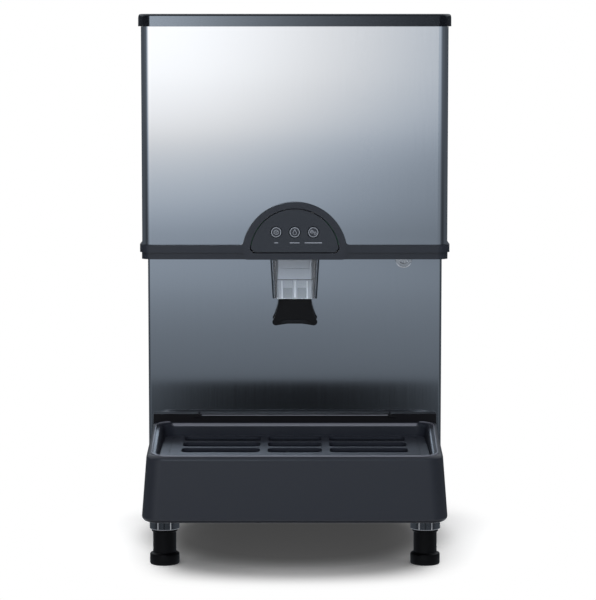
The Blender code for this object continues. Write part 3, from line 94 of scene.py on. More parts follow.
def ranged(value, low, high, at_low=0.0, at_high=1.0, smooth=True):
    node = add_node(value.id_data, "MapRange", From_Min=low, From_Max=high, To_Min=at_low, To_Max=at_high)
    node.interpolation_type = "SMOOTHSTEP" if smooth else "LINEAR"
    link((value, node.inputs["Value"]))
    return node.outputs["Result"]


def fading(value, low, high):
    return ranged(value, low, high, 1.0, 0.0)


def mixed(share, first, second):
    """The first value, with the second in its place by the given share."""
    kept = times(first, math_node("SUBTRACT", 1.0, share))
    return math_node("ADD", kept, times(second, share))


front_levels = ((-0.3, 0.08), (-0.16, 0.12), (-0.144, 0.165), (-0.132, 0.2), (-0.1237, 0.225),
                (-0.111, 0.29), (-0.102, 0.355), (-0.0951, 0.385), (-0.0864, 0.385), (-0.078, 0.47),
                (-0.0697, 0.585), (-0.0614, 0.69), (-0.049, 0.89), (-0.0365, 1.18), (-0.024, 1.37),
                (-0.0115, 1.5), (0.03, 1.56))
top_level = 2.0
right_shares = (0.95, 0.376)
dark_edge, dark_blur, dark_level, dark_half, dark_fade = -0.1437, 0.0008, 0.01, 0.042, 0.038
side_skew, side_levels = 0.05, (0.05, 0.14)
strip_place, strip_level = 0.75, 1.0
table_levels = (0.95, 0.42)
ceiling_levels = (1.0, 0.15)
back_levels = (0.1, 0.75)
soft_box_level, soft_box_fall, soft_box_curve, soft_box_limit = 1.24, 26.6, 84.0, 4.6
below_levels = (0.08, 1.0)
room_levels = (0.03, 1.9)
cool_colour = (0.86, 1.0, 1.17, 1)
world = bpy.data.worlds.new("studio")
scene.world = world
world.use_nodes = True
tree = world.node_tree
tree.nodes.clear()
place = add_node(tree, "TexCoord")
split = add_node(tree, "SeparateXYZ")
link((place.outputs["Generated"], split.inputs[0]))
across, along, upward = split.outputs
sideways = math_node("ABSOLUTE", across)
ramp = add_node(tree, "FloatCurve")
curve = ramp.mapping.curves[0]
low_rise, high_rise = front_levels[0][0], front_levels[-1][0]
points = [((rise - low_rise) / (high_rise - low_rise), level / top_level) for rise, level in front_levels]
curve.points[0].location = points[0]
curve.points[-1].location = points[-1]
for point in points[1:-1]:
    curve.points.new(*point)
ramp.mapping.update()
link((ranged(upward, low_rise, high_rise, smooth=False), ramp.inputs["Value"]))
right_share = ranged(upward, -0.135, -0.05, *right_shares)
to_right = ranged(across, -0.045, 0.075, smooth=False)
front = times(ramp.outputs[0], top_level)
front = times(front, mixed(to_right, 1.0, right_share))
dark = times(fading(sideways, dark_half, dark_half + dark_fade),
             fading(upward, dark_edge - dark_blur, dark_edge + dark_blur))
front = mixed(dark, front, dark_level)
aside = math_node("ADD", sideways, times(across, side_skew))
side = times(ranged(aside, 0.38, 0.85), fading(upward, 0.25, 0.6))
front = mixed(side, front, ranged(upward, -0.09, 0.0, *side_levels))
strips = math_node("ABSOLUTE", math_node("SUBTRACT", sideways, strip_place))
strips = times(fading(strips, 0.02, 0.05), fading(upward, -0.19, -0.17))
front = mixed(strips, front, strip_level)
table = fading(upward, -0.31, -0.235)
front = mixed(table, front, ranged(upward, -0.65, -0.25, *table_levels))
front = times(front, ranged(upward, 0.035, 0.08, *ceiling_levels))
back = ranged(math_node("ABSOLUTE", upward), 0.24, 0.36, *back_levels)
level = mixed(ranged(along, -0.45, 0.05), front, back)
cool = fading(level, 0.3, 1.1)
fall = math_node("ADD", soft_box_fall, times(across, soft_box_curve))
box = math_node("EXPONENT", times(across, fall, -1.0))
box = math_node("MINIMUM", times(box, soft_box_level), soft_box_limit)
box = times(box, ranged(sideways, 0.08, 0.2, 1.0, 0.03))
box_share = times(ranged(upward, 0.165, 0.19), fading(upward, 0.42, 0.55), fading(along, -0.6, -0.3))
level = mixed(box_share, level, box)
cool = math_node("MAXIMUM", cool, box_share)
level = times(level, ranged(upward, -0.74, -0.64, *below_levels))
path = add_node(tree, "LightPath")
glossy = path.outputs["Is Glossy Ray"]
level = mixed(glossy, ranged(upward, 0.6, 0.98, *room_levels), level)
seen = math_node("MAXIMUM", path.outputs["Is Camera Ray"], path.outputs["Is Transmission Ray"])
level = mixed(seen, level, 1.0)
tint = add_node(tree, "Mix")
tint.data_type = "RGBA"
preset(tint, A=(1, 1, 1, 1), B=cool_colour)
sky = add_node(tree, "Background")
sky_out = add_node(tree, "OutputWorld")
link((times(cool, glossy), tint.inputs["Factor"]), (tint.outputs["Result"], sky.inputs["Color"]),
     (level, sky.inputs["Strength"]), (sky.outputs[0], sky_out.inputs[0]))


# Lamps: two large soft boxes in front, the key high up and a weaker fill low down. They light plastic and
# floor, and aren't reflected.
def add_lamp(name, place, aim, size, power):
    lamp = bpy.data.objects.new(name, bpy.data.lights.new(name, "AREA"))
    scene.collection.objects.link(lamp)
    lamp.data.shape = "RECTANGLE"
    lamp.data.size, lamp.data.size_y = size
    lamp.data.energy = power
    lamp.location = place
    lamp.rotation_euler = (Vector(aim) - Vector(place)).to_track_quat("-Z", "Y").to_euler()
    lamp.visible_glossy = False
    lamp.visible_camera = False


add_lamp("key_lamp", (-0.2, -3.4, 2.3), (0, -0.1, 0.1), (2.4, 3.2), 175)
add_lamp("fill_lamp", (0.7, -4.0, 1.0), (0, 0, 0.3), (1.6, 1.0), 8)


# Floor: a plain pale table top that takes the machine's shadow. For the camera a painted shadow lies over it, an
# evenly dark oval round the legs. A little painted white lightens even its middle, and further out the floor turns
# plain white.
def add_material(name):
    """A new material, with its tree, its shader and a node for the place on the piece."""
    material = bpy.data.materials.new(name)
    material.use_nodes = True
    tree = material.node_tree
    return material, tree, tree.nodes["Principled BSDF"], add_node(tree, "TexCoord")


floor_size = 60
floor_levels = (0.8, 1.15)
oval_shift, oval_scale = (0, -0.264, 0), (2.6, 2.64, 0)
painted_shadow_edges, painted_shadow_share, painted_shadow_level = (0.42, 0.67), 0.85, 0.042
white_edges, white_start = (0.69, 1.0), 0.02
bpy.ops.object.select_all(action="DESELECT")
bpy.ops.mesh.primitive_plane_add(size=floor_size)
floor = bpy.context.object
floor.name = "floor"
floor.visible_glossy = False
floor_paint, tree, shader, place = add_material("floor_paint")
preset(shader, Roughness=0.9, Specular_IOR_Level=0.0)
camera_ray = add_node(tree, "LightPath").outputs["Is Camera Ray"]
stretch = add_node(tree, "Mapping", Location=oval_shift, Scale=oval_scale)
spread = add_node(tree, "VectorMath")
spread.operation = "LENGTH"
# Painted shadow: a dark emission that the camera sees in an oval round the legs, mixed over the lit floor.
painted_shadow = add_node(tree, "Emission", Color=(painted_shadow_level, painted_shadow_level, painted_shadow_level, 1))
white = add_node(tree, "Emission")
painted_shadow_mix = add_node(tree, "MixShader")
blend = add_node(tree, "MixShader")
far = spread.outputs["Value"]
under = times(ranged(far, *painted_shadow_edges, painted_shadow_share, 0.0), camera_ray)
beyond = times(ranged(far, *white_edges, white_start, 1.0), camera_ray)
link((ranged(camera_ray, 0.0, 1.0, *floor_levels), shader.inputs["Base Color"]),
     (place.outputs["Object"], stretch.inputs["Vector"]), (stretch.outputs[0], spread.inputs[0]),
     (under, painted_shadow_mix.inputs["Fac"]), (shader.outputs[0], painted_shadow_mix.inputs[1]), (painted_shadow.outputs[0], painted_shadow_mix.inputs[2]),
     (beyond, blend.inputs["Fac"]), (painted_shadow_mix.outputs[0], blend.inputs[1]), (white.outputs[0], blend.inputs[2]),
     (blend.outputs[0], tree.nodes["Material Output"].inputs["Surface"]))
floor.data.materials.append(floor_paint)


# Base pan and deck: bent steel sheet, spot welded. The deck is zinc coated, and the spangle shows as faint
# patches. The pan, seen between the legs, is coated black.
def add_surface_group():
    """Colour, roughness and height that vary finely and broadly over a surface."""
    group = bpy.data.node_groups.new("surface_variation", "ShaderNodeTree")
    sockets = (("Place", "Vector"), ("Grain Place", "Vector"), ("Colour", "Color"), ("Colour Spread", "Float"),
               ("Roughness", "Float"), ("Roughness Spread", "Float"), ("Broad Scale", "Float"))
    results = (("Colour", "Color"), ("Roughness", "Float"), ("Height", "Float"))
    for side, listed in (("INPUT", sockets), ("OUTPUT", results)):
        for name, kind in listed:
            group.interface.new_socket(name, in_out=side, socket_type="NodeSocket" + kind)
    start = group.nodes.new("NodeGroupInput")
    end = group.nodes.new("NodeGroupOutput")
    fine = add_node(group, "TexNoise", Scale=1.0, Detail=3.0)
    broad = add_node(group, "TexNoise", Detail=2.0)
    link((start.outputs["Grain Place"], fine.inputs["Vector"]), (start.outputs["Place"], broad.inputs["Vector"]),
         (start.outputs["Broad Scale"], broad.inputs["Scale"]))
    fine_value, broad_value = [times(math_node("SUBTRACT", noise.outputs[0], 0.5), 2.0) for noise in (fine, broad)]
    both = math_node("ADD", fine_value, broad_value)
    factor = math_node("ADD", 1.0, times(both, start.outputs["Colour Spread"]))
    scaled = add_node(group, "VectorMath")
    scaled.operation = "SCALE"
    link((start.outputs["Colour"], scaled.inputs[0]), (factor, scaled.inputs["Scale"]),
         (scaled.outputs[0], end.inputs["Colour"]))
    rough = times(both, start.outputs["Roughness Spread"])
    link((math_node("ADD", start.outputs["Roughness"], rough), end.inputs["Roughness"]),
         (fine.outputs[0], end.inputs["Height"]))
    return group


surface_variation = add_surface_group()
relief_depth = 0.0002


def add_finish(name, colour, roughness, grain, spread=0.03, rough_spread=0.04, broad=6.0, bump=0.05, **sockets):
    """A material whose grain is given as lines per metre, even or along X, Y and Z."""
    finish, tree, shader, place = add_material(name)
    preset(shader, **sockets)
    stretch = add_node(tree, "Mapping", Scale=grain if isinstance(grain, tuple) else (grain,) * 3)
    surface = add_node(tree, "Group")
    surface.node_tree = surface_variation
    preset(surface, Colour=(*colour, 1), Colour_Spread=spread, Roughness=roughness,
           Roughness_Spread=rough_spread, Broad_Scale=broad)
    relief = add_node(tree, "Bump", Strength=bump, Distance=relief_depth)
    link((place.outputs["Object"], stretch.inputs["Vector"]), (place.outputs["Object"], surface.inputs["Place"]),
         (stretch.outputs[0], surface.inputs["Grain Place"]), (relief.outputs[0], shader.inputs["Normal"]),
         (surface.outputs["Colour"], shader.inputs["Base Color"]),
         (surface.outputs["Roughness"], shader.inputs["Roughness"]),
         (surface.outputs["Height"], relief.inputs["Height"]))
    return finish


def paint(finish, *names):
    """Gives CAD nodes their finish."""
    for name in names:
        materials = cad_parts[name].data.materials
        for number in range(len(materials)):
            materials[number] = finish


zinc_sheet = add_finish("zinc_sheet", (0.5, 0.51, 0.52), 0.42, 60, spread=0.1, rough_spread=0.1,
                        broad=30, Metallic=1.0)
paint(zinc_sheet, "support_deck", "gate_solenoid")
coated_black = add_finish("coated_black", (0.01, 0.01, 0.012), 0.45, 800, spread=0.06, bump=0.04)
paint(coated_black, "base_pan")


# Cooling machinery: a black enamelled compressor, a finned aluminium condenser with its moulded shroud,
# fan and motor, and brazed copper lines with the filter drier.
black_enamel = add_finish("black_enamel", (0.018, 0.018, 0.02), 0.32, 90, spread=0.1, bump=0.03)
fin_metal = add_finish("fin_metal", (0.62, 0.63, 0.65), 0.36, (20, 20, 1400), spread=0.08, bump=0.1, Metallic=1.0)
dark_moulding = add_finish("dark_moulding", (0.022, 0.023, 0.026), 0.48, 700, bump=0.04)
copper = add_finish("copper_pipe", (0.72, 0.34, 0.19), 0.3, 160, spread=0.12, rough_spread=0.08, Metallic=1.0)
paint(black_enamel, "compressor", "auger_gearmotor", "agitator_gearmotor", "fan_motor")
paint(fin_metal, "condenser_coil", "evaporator_barrel")
paint(dark_moulding, "fan_shroud", "fan_blades", "micro_switch", "switch_plunger", "control_box")
paint(copper, "discharge_line", "suction_line", "filter_drier")


# Ice path and water path: food-grade white plastic mouldings, a stainless auger and agitator, and the
# reservoir with its float.
food_plastic = add_finish("food_plastic", (0.7, 0.72, 0.73), 0.38, 500, bump=0.03)
bright_steel = add_finish("bright_steel", (0.66, 0.67, 0.69), 0.2, (900, 900, 25), spread=0.04, Metallic=1.0)
board_green = add_finish("board_green", (0.03, 0.15, 0.07), 0.42, 350, spread=0.2)
paint(food_plastic, "ice_bin", "bin_lid", "gate_frame", "ice_transfer_channel", "water_reservoir", "float_arm")
paint(bright_steel, "auger", "agitator", "ice_gate", "lever_pivot_pin")
paint(board_green, "control_board")


# Side skins: brushed stainless sheet with two columns of pierced vents, hooked on the base and the deck.
# Each one steps forward over the cup bay. The grain runs upright and their cut edges are deburred.
def activate(piece):
    bpy.ops.object.select_all(action="DESELECT")
    piece.select_set(True)
    bpy.context.view_layer.objects.active = piece


def apply_all(piece):
    activate(piece)
    for change in list(piece.modifiers):
        bpy.ops.object.modifier_apply(modifier=change.name)


def smooth(piece, angle=32):
    """Smooth shading over the rounded edges, with the flat faces kept flat."""
    activate(piece)
    bpy.ops.object.shade_smooth_by_angle(angle=radians(angle))
    weighted = piece.modifiers.new("weighted", "WEIGHTED_NORMAL")
    weighted.keep_sharp = True
    apply_all(piece)


def soften(piece, radius, segments=3, angle=40):
    """Rounds every edge that is sharper than the angle, then shades the piece smooth."""
    round_off = piece.modifiers.new("round_off", "BEVEL")
    round_off.width = radius
    round_off.segments = segments
    round_off.limit_method = "ANGLE"
    round_off.angle_limit = radians(angle)
    round_off.miter_outer = "MITER_ARC"
    apply_all(piece)
    smooth(piece)


def fit(piece, slot, finish, *replaced, body="machine"):
    """Gives a finished piece its material and its place in the machine."""
    piece.data.materials.clear()
    piece.data.materials.append(finish)
    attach(piece, body)
    if replaced:
        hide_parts(*replaced)


def spatial(axis, u, v, level):
    return {"X": (level, u, v), "Y": (u, level, v), "Z": (u, v, level)}[axis]


def add_circle(name, sides, **options):
    bpy.ops.object.select_all(action="DESELECT")
    bpy.ops.mesh.primitive_circle_add(vertices=sides, fill_type="NGON", **options)
    bpy.context.object.name = name
    return bpy.context.object


def close_mesh():
    bpy.ops.mesh.select_all(action="SELECT")
    bpy.ops.mesh.normals_make_consistent(inside=False)
    bpy.ops.object.mode_set(mode="OBJECT")


def add_rings(name, rings):
    """A closed piece through rings of points: a filled circle laid on the first, extruded onto the others."""
    piece = add_circle(name, len(rings[0]))
    for vertex, point in zip(piece.data.vertices, rings[0]):
        vertex.co = point
    bpy.ops.object.mode_set(mode="EDIT")
    bpy.ops.mesh.select_all(action="SELECT")
    for before, after in zip(rings, rings[1:]):
        bpy.ops.mesh.extrude_region_move()
        mesh = bmesh.from_edit_mesh(piece.data)
        for vertex in [vertex for vertex in mesh.verts if vertex.select]:
            nearest = min(range(len(before)), key=lambda i: (Vector(before[i]) - vertex.co).length_squared)
            vertex.co = after[nearest]
        bmesh.update_edit_mesh(piece.data)
    close_mesh()
    return piece


def add_plate(name, outline, axis, start, end):
    """A plate of the given outline between two levels on an axis."""
    return add_rings(name, [[spatial(axis, u, v, level) for u, v in outline] for level in (start, end)])


def combine(piece, tool, operation="DIFFERENCE"):
    """Cuts one piece with another, or joins them, and throws the tool away."""
    change = piece.modifiers.new("combine", "BOOLEAN")
    change.operation = operation
    change.solver = "EXACT"
    change.object = tool
    apply_all(piece)
    bpy.data.objects.remove(tool)


def arc(centre, radius, start, end, steps):
    angles = [radians(start + (end - start) * step / steps) for step in range(steps + 1)]
    return [(centre[0] + radius * cos(angle), centre[1] + radius * sin(angle)) for angle in angles]


def square(low, high):
    return [low, (high[0], low[1]), high, (low[0], high[1])]


def rounded(low, high, radius, steps=8):
    """Rectangle with rounded corners, anticlockwise from the low left corner."""
    outline = []
    for (x, y), turn in zip(square(low, high), (180, 270, 0, 90)):
        centre = (x + radius if x == low[0] else x - radius, y + radius if y == low[1] else y - radius)
        outline += arc(centre, radius, turn, turn + 90, steps)
    return outline


def add_repeats(name, outline, axis, start, end, *steps):
    """Plates of one outline, copied in edit mode by each (count, step) in turn."""
    piece = add_plate(name, outline, axis, start, end)
    bpy.ops.object.mode_set(mode="EDIT")
    for count, step in steps:
        bpy.ops.mesh.select_all(action="SELECT")
        for _ in range(count - 1):
            bpy.ops.mesh.duplicate_move(TRANSFORM_OT_translate={"value": step})
    bpy.ops.object.mode_set(mode="OBJECT")
    return piece


brushed_steel = add_finish("brushed_steel", (0.66, 0.675, 0.7), 0.06, (1500, 1500, 14), spread=0.025,
                           rough_spread=0.015, broad=4, bump=0.02, Metallic=1.0, Anisotropic=1.0)
half_body, sheet, deburr = 0.2065, 0.0015, 0.0004
rear_y, nose_y = 0.288, -0.2077
bay_y, deck_y = -0.0747, -0.0947
skin_bottom_z, bay_top_z, step_z, skin_top_z = 0.105, 0.4499, 0.4657, 0.7582
slot_round, slot_pitch, column_pitch = 0.00249, 0.02, 0.082
for side, name, node in ((-1, "left_side_skin", "left_side_panel"), (1, "right_side_skin", "right_side_panel")):
    outline = [(rear_y, skin_bottom_z), (bay_y, skin_bottom_z), (bay_y, bay_top_z), (deck_y, bay_top_z),
               (deck_y, step_z), (nose_y, step_z), (nose_y, skin_top_z), (rear_y, skin_top_z)]
    skin = add_plate(name, outline, "X", side * half_body, side * (half_body - sheet))
    vent = rounded((-0.049, 0.1448), (0.017, 0.1498), slot_round, 5)
    vents = add_repeats("vents", vent, "X", side * (half_body + 0.002), side * (half_body - 0.004),
                        (8, (0, 0, slot_pitch)), (2, (0, column_pitch, 0)))
    combine(skin, vents)
    soften(skin, deburr, 2)
    fit(skin, "brushed_stainless", brushed_steel, node)


# Rear skin: flat brushed sheet with nine louvre slots, holes for the water and drain fittings and for the
# power inlet. Ten pan-head screws hold it on the flanges of the side skins.
def cut_out(piece, outline, axis, start, end):
    combine(piece, add_plate("cutter", outline, axis, start, end))


def add_turned(name, profile, axis, place, sides=48):
    """A turned piece from (radius, level) steps: a filled circle, extruded and resized step by step."""
    (first_width, first_level), *others = profile
    piece = add_circle(name, sides, radius=first_width, location=(0, 0, first_level))
    bpy.ops.object.transform_apply(location=True, rotation=False, scale=False)
    bpy.ops.object.mode_set(mode="EDIT")
    bpy.ops.mesh.select_all(action="SELECT")
    for (width, level), (next_width, next_level) in zip(profile, others):
        bpy.ops.mesh.extrude_region_move(TRANSFORM_OT_translate={"value": (0, 0, next_level - level)})
        ratio = next_width / width
        bpy.ops.transform.resize(value=(ratio, ratio, 1), center_override=(0, 0, 0))
    close_mesh()
    piece.rotation_euler = {"X": (0, pi / 2, 0), "Y": (-pi / 2, 0, 0), "Z": (0, 0, 0)}[axis]
    piece.location = place
    bpy.ops.object.transform_apply(location=True, rotation=True, scale=False)
    return piece


def add_bore(piece, radius, start, end, axis, place, sides=48):
    combine(piece, add_turned("bore", [(radius, start), (radius, end)], axis, place, sides))


def join(pieces):
    activate(pieces[0])
    for piece in pieces[1:]:
        piece.select_set(True)
    bpy.ops.object.join()
    return pieces[0]


half_rear, cut = 0.2047, 0.004
inlet_x, inlet_z, inlet_half_width, inlet_half_height = 0.15, 0.167, 0.0153, 0.0323
valve_x, valve_z = -0.1477, 0.5122
drain_x, drain_exit_z = -0.01, 0.1336
rear_skin = add_plate("rear_skin", square((-half_rear, skin_bottom_z), (half_rear, skin_top_z)), "Y",
                      rear_y - sheet, rear_y)
louvre = rounded((-0.123, 0.22), (0.097, 0.225), slot_round, 5)
combine(rear_skin, add_repeats("louvres", louvre, "Y", rear_y - cut, rear_y + cut, (9, (0, 0, slot_pitch))))
inlet_hole = rounded((inlet_x - inlet_half_width, inlet_z - inlet_half_height),
                     (inlet_x + inlet_half_width, inlet_z + inlet_half_height), 0.001)
cut_out(rear_skin, inlet_hole, "Y", rear_y - cut, rear_y + cut)
for x, z in ((valve_x, valve_z), (drain_x, drain_exit_z)):
    add_bore(rear_skin, 0.0103, -cut, cut, "Y", (x, rear_y, z), 40)
soften(rear_skin, deburr, 2)
fit(rear_skin, "brushed_stainless", brushed_steel, "rear_panel")
screw_x, screw_top_z, screw_head = 0.192, 0.735, [(0.0038, 0), (0.0038, 0.0008), (0.0033, 0.0016), (0.0018, 0.0021)]
cross_half, cross_width = 0.0016, 0.0003
screw_places = [(side * screw_x, z) for side in (-1, 1) for z in (0.135, 0.36, 0.55, screw_top_z)]
heads = []
for x, z in screw_places + [(-0.03, screw_top_z), (-0.03, 0.13)]:
    head = add_turned("rear_screws", screw_head, "Y", (x, rear_y, z), 24)
    cross = add_plate("cross", square((-cross_half, -cross_width), (cross_half, cross_width)), "Z", 0.0012, 0.0025)
    cross.data.transform(cross.matrix_world.Rotation(-pi / 2, 4, "X"))
    cross.data.transform(cross.matrix_world.Translation((x, rear_y, z)))
    combine(head, cross)
    heads.append(head)
screws = join(heads)
smooth(screws)
fit(screws, "bright_steel", bright_steel)


# Front skin of the upper housing: one brushed sheet wrapped round the two front corners, with a half-round
# opening cut for the control frame. The grain runs upright.
def front_wrap(half_width, front, rear, radius, proud=0, steps=12):
    """Path round a front with two corners, seen from above, moved outwards by proud."""
    path = [(-half_width - proud, rear)]
    path += arc((-half_width + radius, front + radius), radius + proud, 180, 270, steps)
    path += arc((half_width - radius, front + radius), radius + proud, 270, 360, steps)
    return path + [(half_width + proud, rear)]


def wrapped(half_width, front, rear, radius, outer, inner, steps=12):
    """Outline of a wall that follows such a path."""
    return (front_wrap(half_width, front, rear, radius, outer, steps)
            + front_wrap(half_width, front, rear, radius, inner, steps)[::-1])


def mirrored(outline):
    return outline + [(-x, v) for x, v in outline[::-1]]


def dome(radius, centre_z, foot_z, bottom_z, corner, steps=48):
    """Half-round top over a foot with cut corners, as (x, z) points."""
    rise = foot_z - centre_z
    half_foot = sqrt(radius ** 2 - rise ** 2)
    first = asin(rise / radius) * 180 / pi
    outline = arc((0, centre_z), radius, first, 180 - first, steps)
    foot = [(corner - half_foot, bottom_z)]
    if foot_z > bottom_z + corner:
        foot.insert(0, (-half_foot, bottom_z + corner))
    return outline + mirrored(foot)


front_y, front_round, gap = -0.228, 0.014, 0.0003
band_bottom_z, groove_z, band_top_z = 0.4458, 0.455, 0.4654
dome_radius, dome_z, dome_corner = 0.071, 0.4524, 0.0045
front_skin = add_plate("front_skin", wrapped(half_body, front_y, -0.208, front_round, 0, -sheet), "Z",
                       band_top_z + gap, skin_top_z)
dome_opening = dome(dome_radius + gap, dome_z, band_top_z, band_bottom_z, dome_corner)
cut_out(front_skin, dome_opening, "Y", front_y - 0.01, front_y + 0.01)
smooth(front_skin)
fit(front_skin, "brushed_stainless", brushed_steel, "upper_front_panel")


# Splash skin: the brushed sheet behind the cup bay, folded round its two front corners, pierced for the
# lock, the switch plunger and the tray's drain.
splash_y, splash_round = -0.095, 0.004
lock_x, lock_z = 0.1528, 0.4335
spigot_z, plunger_z = 0.1596, 0.4101
splash_skin = add_plate("splash_skin", wrapped(half_body, splash_y, -0.075, splash_round, 0, -sheet, 6), "Z",
                        0.1073, 0.4496)
for radius, x, z in ((0.0083, drain_x, spigot_z), (0.0093, lock_x, lock_z), (0.0023, 0, plunger_z)):
    add_bore(splash_skin, radius, -0.01, 0.01, "Y", (x, splash_y, z), 40)
smooth(splash_skin)
fit(splash_skin, "brushed_stainless", brushed_steel, "splash_panel")


# Trim surround: one black moulding along the lower edge of the upper housing, in two steps with a groove
# between them, and in its middle the domed frame of the controls. It clips into the front skin.
trim_black = add_finish("trim_black", (0.01, 0.012, 0.017), 0.3, 900, spread=0.05, bump=0.03)
lower_proud, upper_proud, trim_inner = 0.0004, 0.003, -0.005
trim_rear = splash_y - gap
frame_front = front_y - 0.006
trim = add_plate("trim_surround", wrapped(half_body, front_y, trim_rear, front_round, lower_proud, trim_inner), "Z",
                 band_bottom_z, groove_z + 0.0005)
upper_step = wrapped(half_body, front_y, trim_rear, front_round, upper_proud, trim_inner)
combine(trim, add_plate("upper_step", upper_step, "Z", groove_z, band_top_z), "UNION")
dome_frame = dome(dome_radius, dome_z, band_top_z, band_bottom_z, dome_corner)
combine(trim, add_plate("dome_frame", dome_frame, "Y", frame_front, front_y + 0.008), "UNION")
flare, flare_foot = 0.005, 0.006
flare_x = sqrt((dome_radius + flare) ** 2 - (band_top_z + flare - dome_z) ** 2)
lean = asin((band_top_z + flare - dome_z) / (dome_radius + flare)) * 180 / pi
curve_in = arc((flare_x, band_top_z + flare), flare, 180 + lean, 270, 6)
curve_in += [(flare_x, band_top_z - flare_foot), (0.06, band_top_z - flare_foot), (0.06, 0.467)]
for side in (-1, 1):
    flare_outline = [(side * x, z) for x, z in curve_in]
    combine(trim, add_plate("flare", flare_outline, "Y", front_y - 0.0035, front_y + 0.006), "UNION")
fascia_radius, fascia_z, fascia_bottom_z, fascia_corner, fascia_gap = 0.0594, 0.4545, 0.4555, 0.005, 0.0011
recess = dome(fascia_radius + fascia_gap, fascia_z, fascia_bottom_z + 0.004, fascia_bottom_z - fascia_gap,
              fascia_corner)
cut_out(trim, recess, "Y", frame_front - 0.01, front_y + 0.02)
soften(trim, 0.0011, 3)
fit(trim, "black_moulding", trim_black, "front_trim_band")


# Control face: a satin grey moulded plate in the frame, with holes for three push pads. Under each pad a
# pale bar stands in for its words.
face_grey = add_finish("face_grey", (0.011, 0.0135, 0.0185), 0.42, 1200, bump=0.03)
ink = add_finish("pale_ink", (0.165, 0.18, 0.21), 0.55, 900, bump=0.0)
face_front, face_thick = -0.233, 0.0025
pads, pad_z = (("ice", -0.025, 0.0055), ("water", 0.0, 0.0135), ("ice_water", 0.025, 0.0235)), 0.4828
bar_bottom_z, bar_top_z = 0.468, 0.4691
face = add_plate("control_face", dome(fascia_radius, fascia_z, fascia_bottom_z + fascia_corner, fascia_bottom_z,
                                      fascia_corner), "Y", face_front, face_front + face_thick)
for _, x, _ in pads:
    add_bore(face, 0.0079, -0.01, 0.01, "Y", (x, face_front, pad_z))
soften(face, 0.0005, 2)
fit(face, "fascia_plastic", face_grey, "control_fascia")
for name, x, width in pads:
    bar = add_plate(name + "_bar", rounded((x - width / 2, bar_bottom_z), (x + width / 2, bar_top_z), 0.0005, 3), "Y",
                    face_front - 0.00008, face_front + 0.0005)
    fit(bar, "fascia_plastic", ink)


# Push pads: three round satin caps with a printed ring and a plain picture: a cube for ice, a drop for
# water, and both. Each one slides in the control face.
def add_print(name, outline):
    """A thin layer of ink on a pad."""
    return add_plate(name, outline, "Y", ink_front, ink_rear)


def add_loop(name, outline, width):
    """A printed line along an outline: the outline's plate with its middle cut out."""
    centre = [sum(point[i] for point in outline) / len(outline) for i in (0, 1)]
    size = max(abs(point[0] - centre[0]) for point in outline)
    inner = [tuple(centre[i] + (point[i] - centre[i]) * (1 - width / size) for i in (0, 1)) for point in outline]
    loop = add_print(name, outline)
    cut_out(loop, inner, "Y", ink_front - 0.001, ink_rear + 0.001)
    return loop


def cube_picture(x, z, size):
    parts = [add_loop("cube", arc((x, z), size, 30, 330, 5), line_width)]
    for turn in (30, 150, 270):
        end = (x + size * 0.93 * cos(radians(turn)), z + size * 0.93 * sin(radians(turn)))
        out = Vector((end[0] - x, end[1] - z)).normalized()
        flat = Vector((-out.y, out.x)) * 0.00022
        parts.append(add_print("edge", [(x + flat.x, z + flat.y), (x - flat.x, z - flat.y),
                                        (end[0] - flat.x, end[1] - flat.y), (end[0] + flat.x, end[1] + flat.y)]))
    return parts


def drop_picture(x, z, size):
    outline = [(x, z + size * 1.25)] + arc((x, z - size * 0.25), size * 0.72, 150, 390, 16)
    return [add_loop("drop", outline, line_width)]


pad_front = face_front - 0.0005
ink_front, ink_rear = pad_front - 0.00006, pad_front + 0.0003
line_width, ring_width, ring_radius = 0.0006, 0.0008, 0.0066
picture_size, small_cube, small_drop = 0.0036, 0.0026, 0.0024
pad_profile = [(0.0066, 0), (0.0072, 0.0002), (0.0075, 0.0006), (0.0075, 0.0105)]
for name, x, _ in pads:
    node = name + "_button"
    pad = add_turned(name + "_pad", pad_profile, "Y", (x, pad_front, pad_z))
    smooth(pad)
    fit(pad, "button_plastic", face_grey, node, body=node)
    print_ring = add_loop(name + "_pad_print", arc((x, pad_z), ring_radius, 0, 352.5, 47), ring_width)
    if name == "ice":
        pictures = cube_picture(x, pad_z, picture_size)
    elif name == "water":
        pictures = drop_picture(x, pad_z, picture_size)
    else:
        pictures = cube_picture(x - 0.0019, pad_z + 0.0008, small_cube)
        pictures += drop_picture(x + 0.0025, pad_z - 0.0013, small_drop)
    join([print_ring, *pictures])
    fit(print_ring, "button_plastic", ink, body=node)


# Overhang floor: a black coated steel plate under the overhang, with passages for the chute and the nozzle.
# It closes the space behind the trim from below.
paint(coated_black, "overhang_floor")


# Clear shield: a three-sided screen of clear moulded plastic round the chute, hung from the overhang
# floor. Its walls close in towards the lower edge.
clear_plastic, tree, shader, place = add_material("clear_plastic")
preset(shader, Base_Color=(0.9, 0.93, 0.96, 1), Transmission_Weight=1.0, IOR=1.45)
haze = add_node(tree, "TexNoise", Scale=60)
link((place.outputs["Object"], haze.inputs["Vector"]),
     (ranged(haze.outputs[0], 0.3, 0.7, 0.02, 0.05), shader.inputs["Roughness"]))
shield_front, shield_rear, shield_round, shield_wall = -0.158, -0.098, 0.007, 0.0025
shield_rings = []
for z, half_width in ((0.3843, 0.0307), (0.4468, 0.0345)):
    outline = wrapped(half_width, shield_front, shield_rear, shield_round, 0, -shield_wall, 8)
    shield_rings.append([(x, y, z) for x, y in outline])
shield = add_rings("clear_shield", shield_rings)
soften(shield, 0.0005, 2)
fit(shield, "clear_plastic", clear_plastic, "chute_guard")
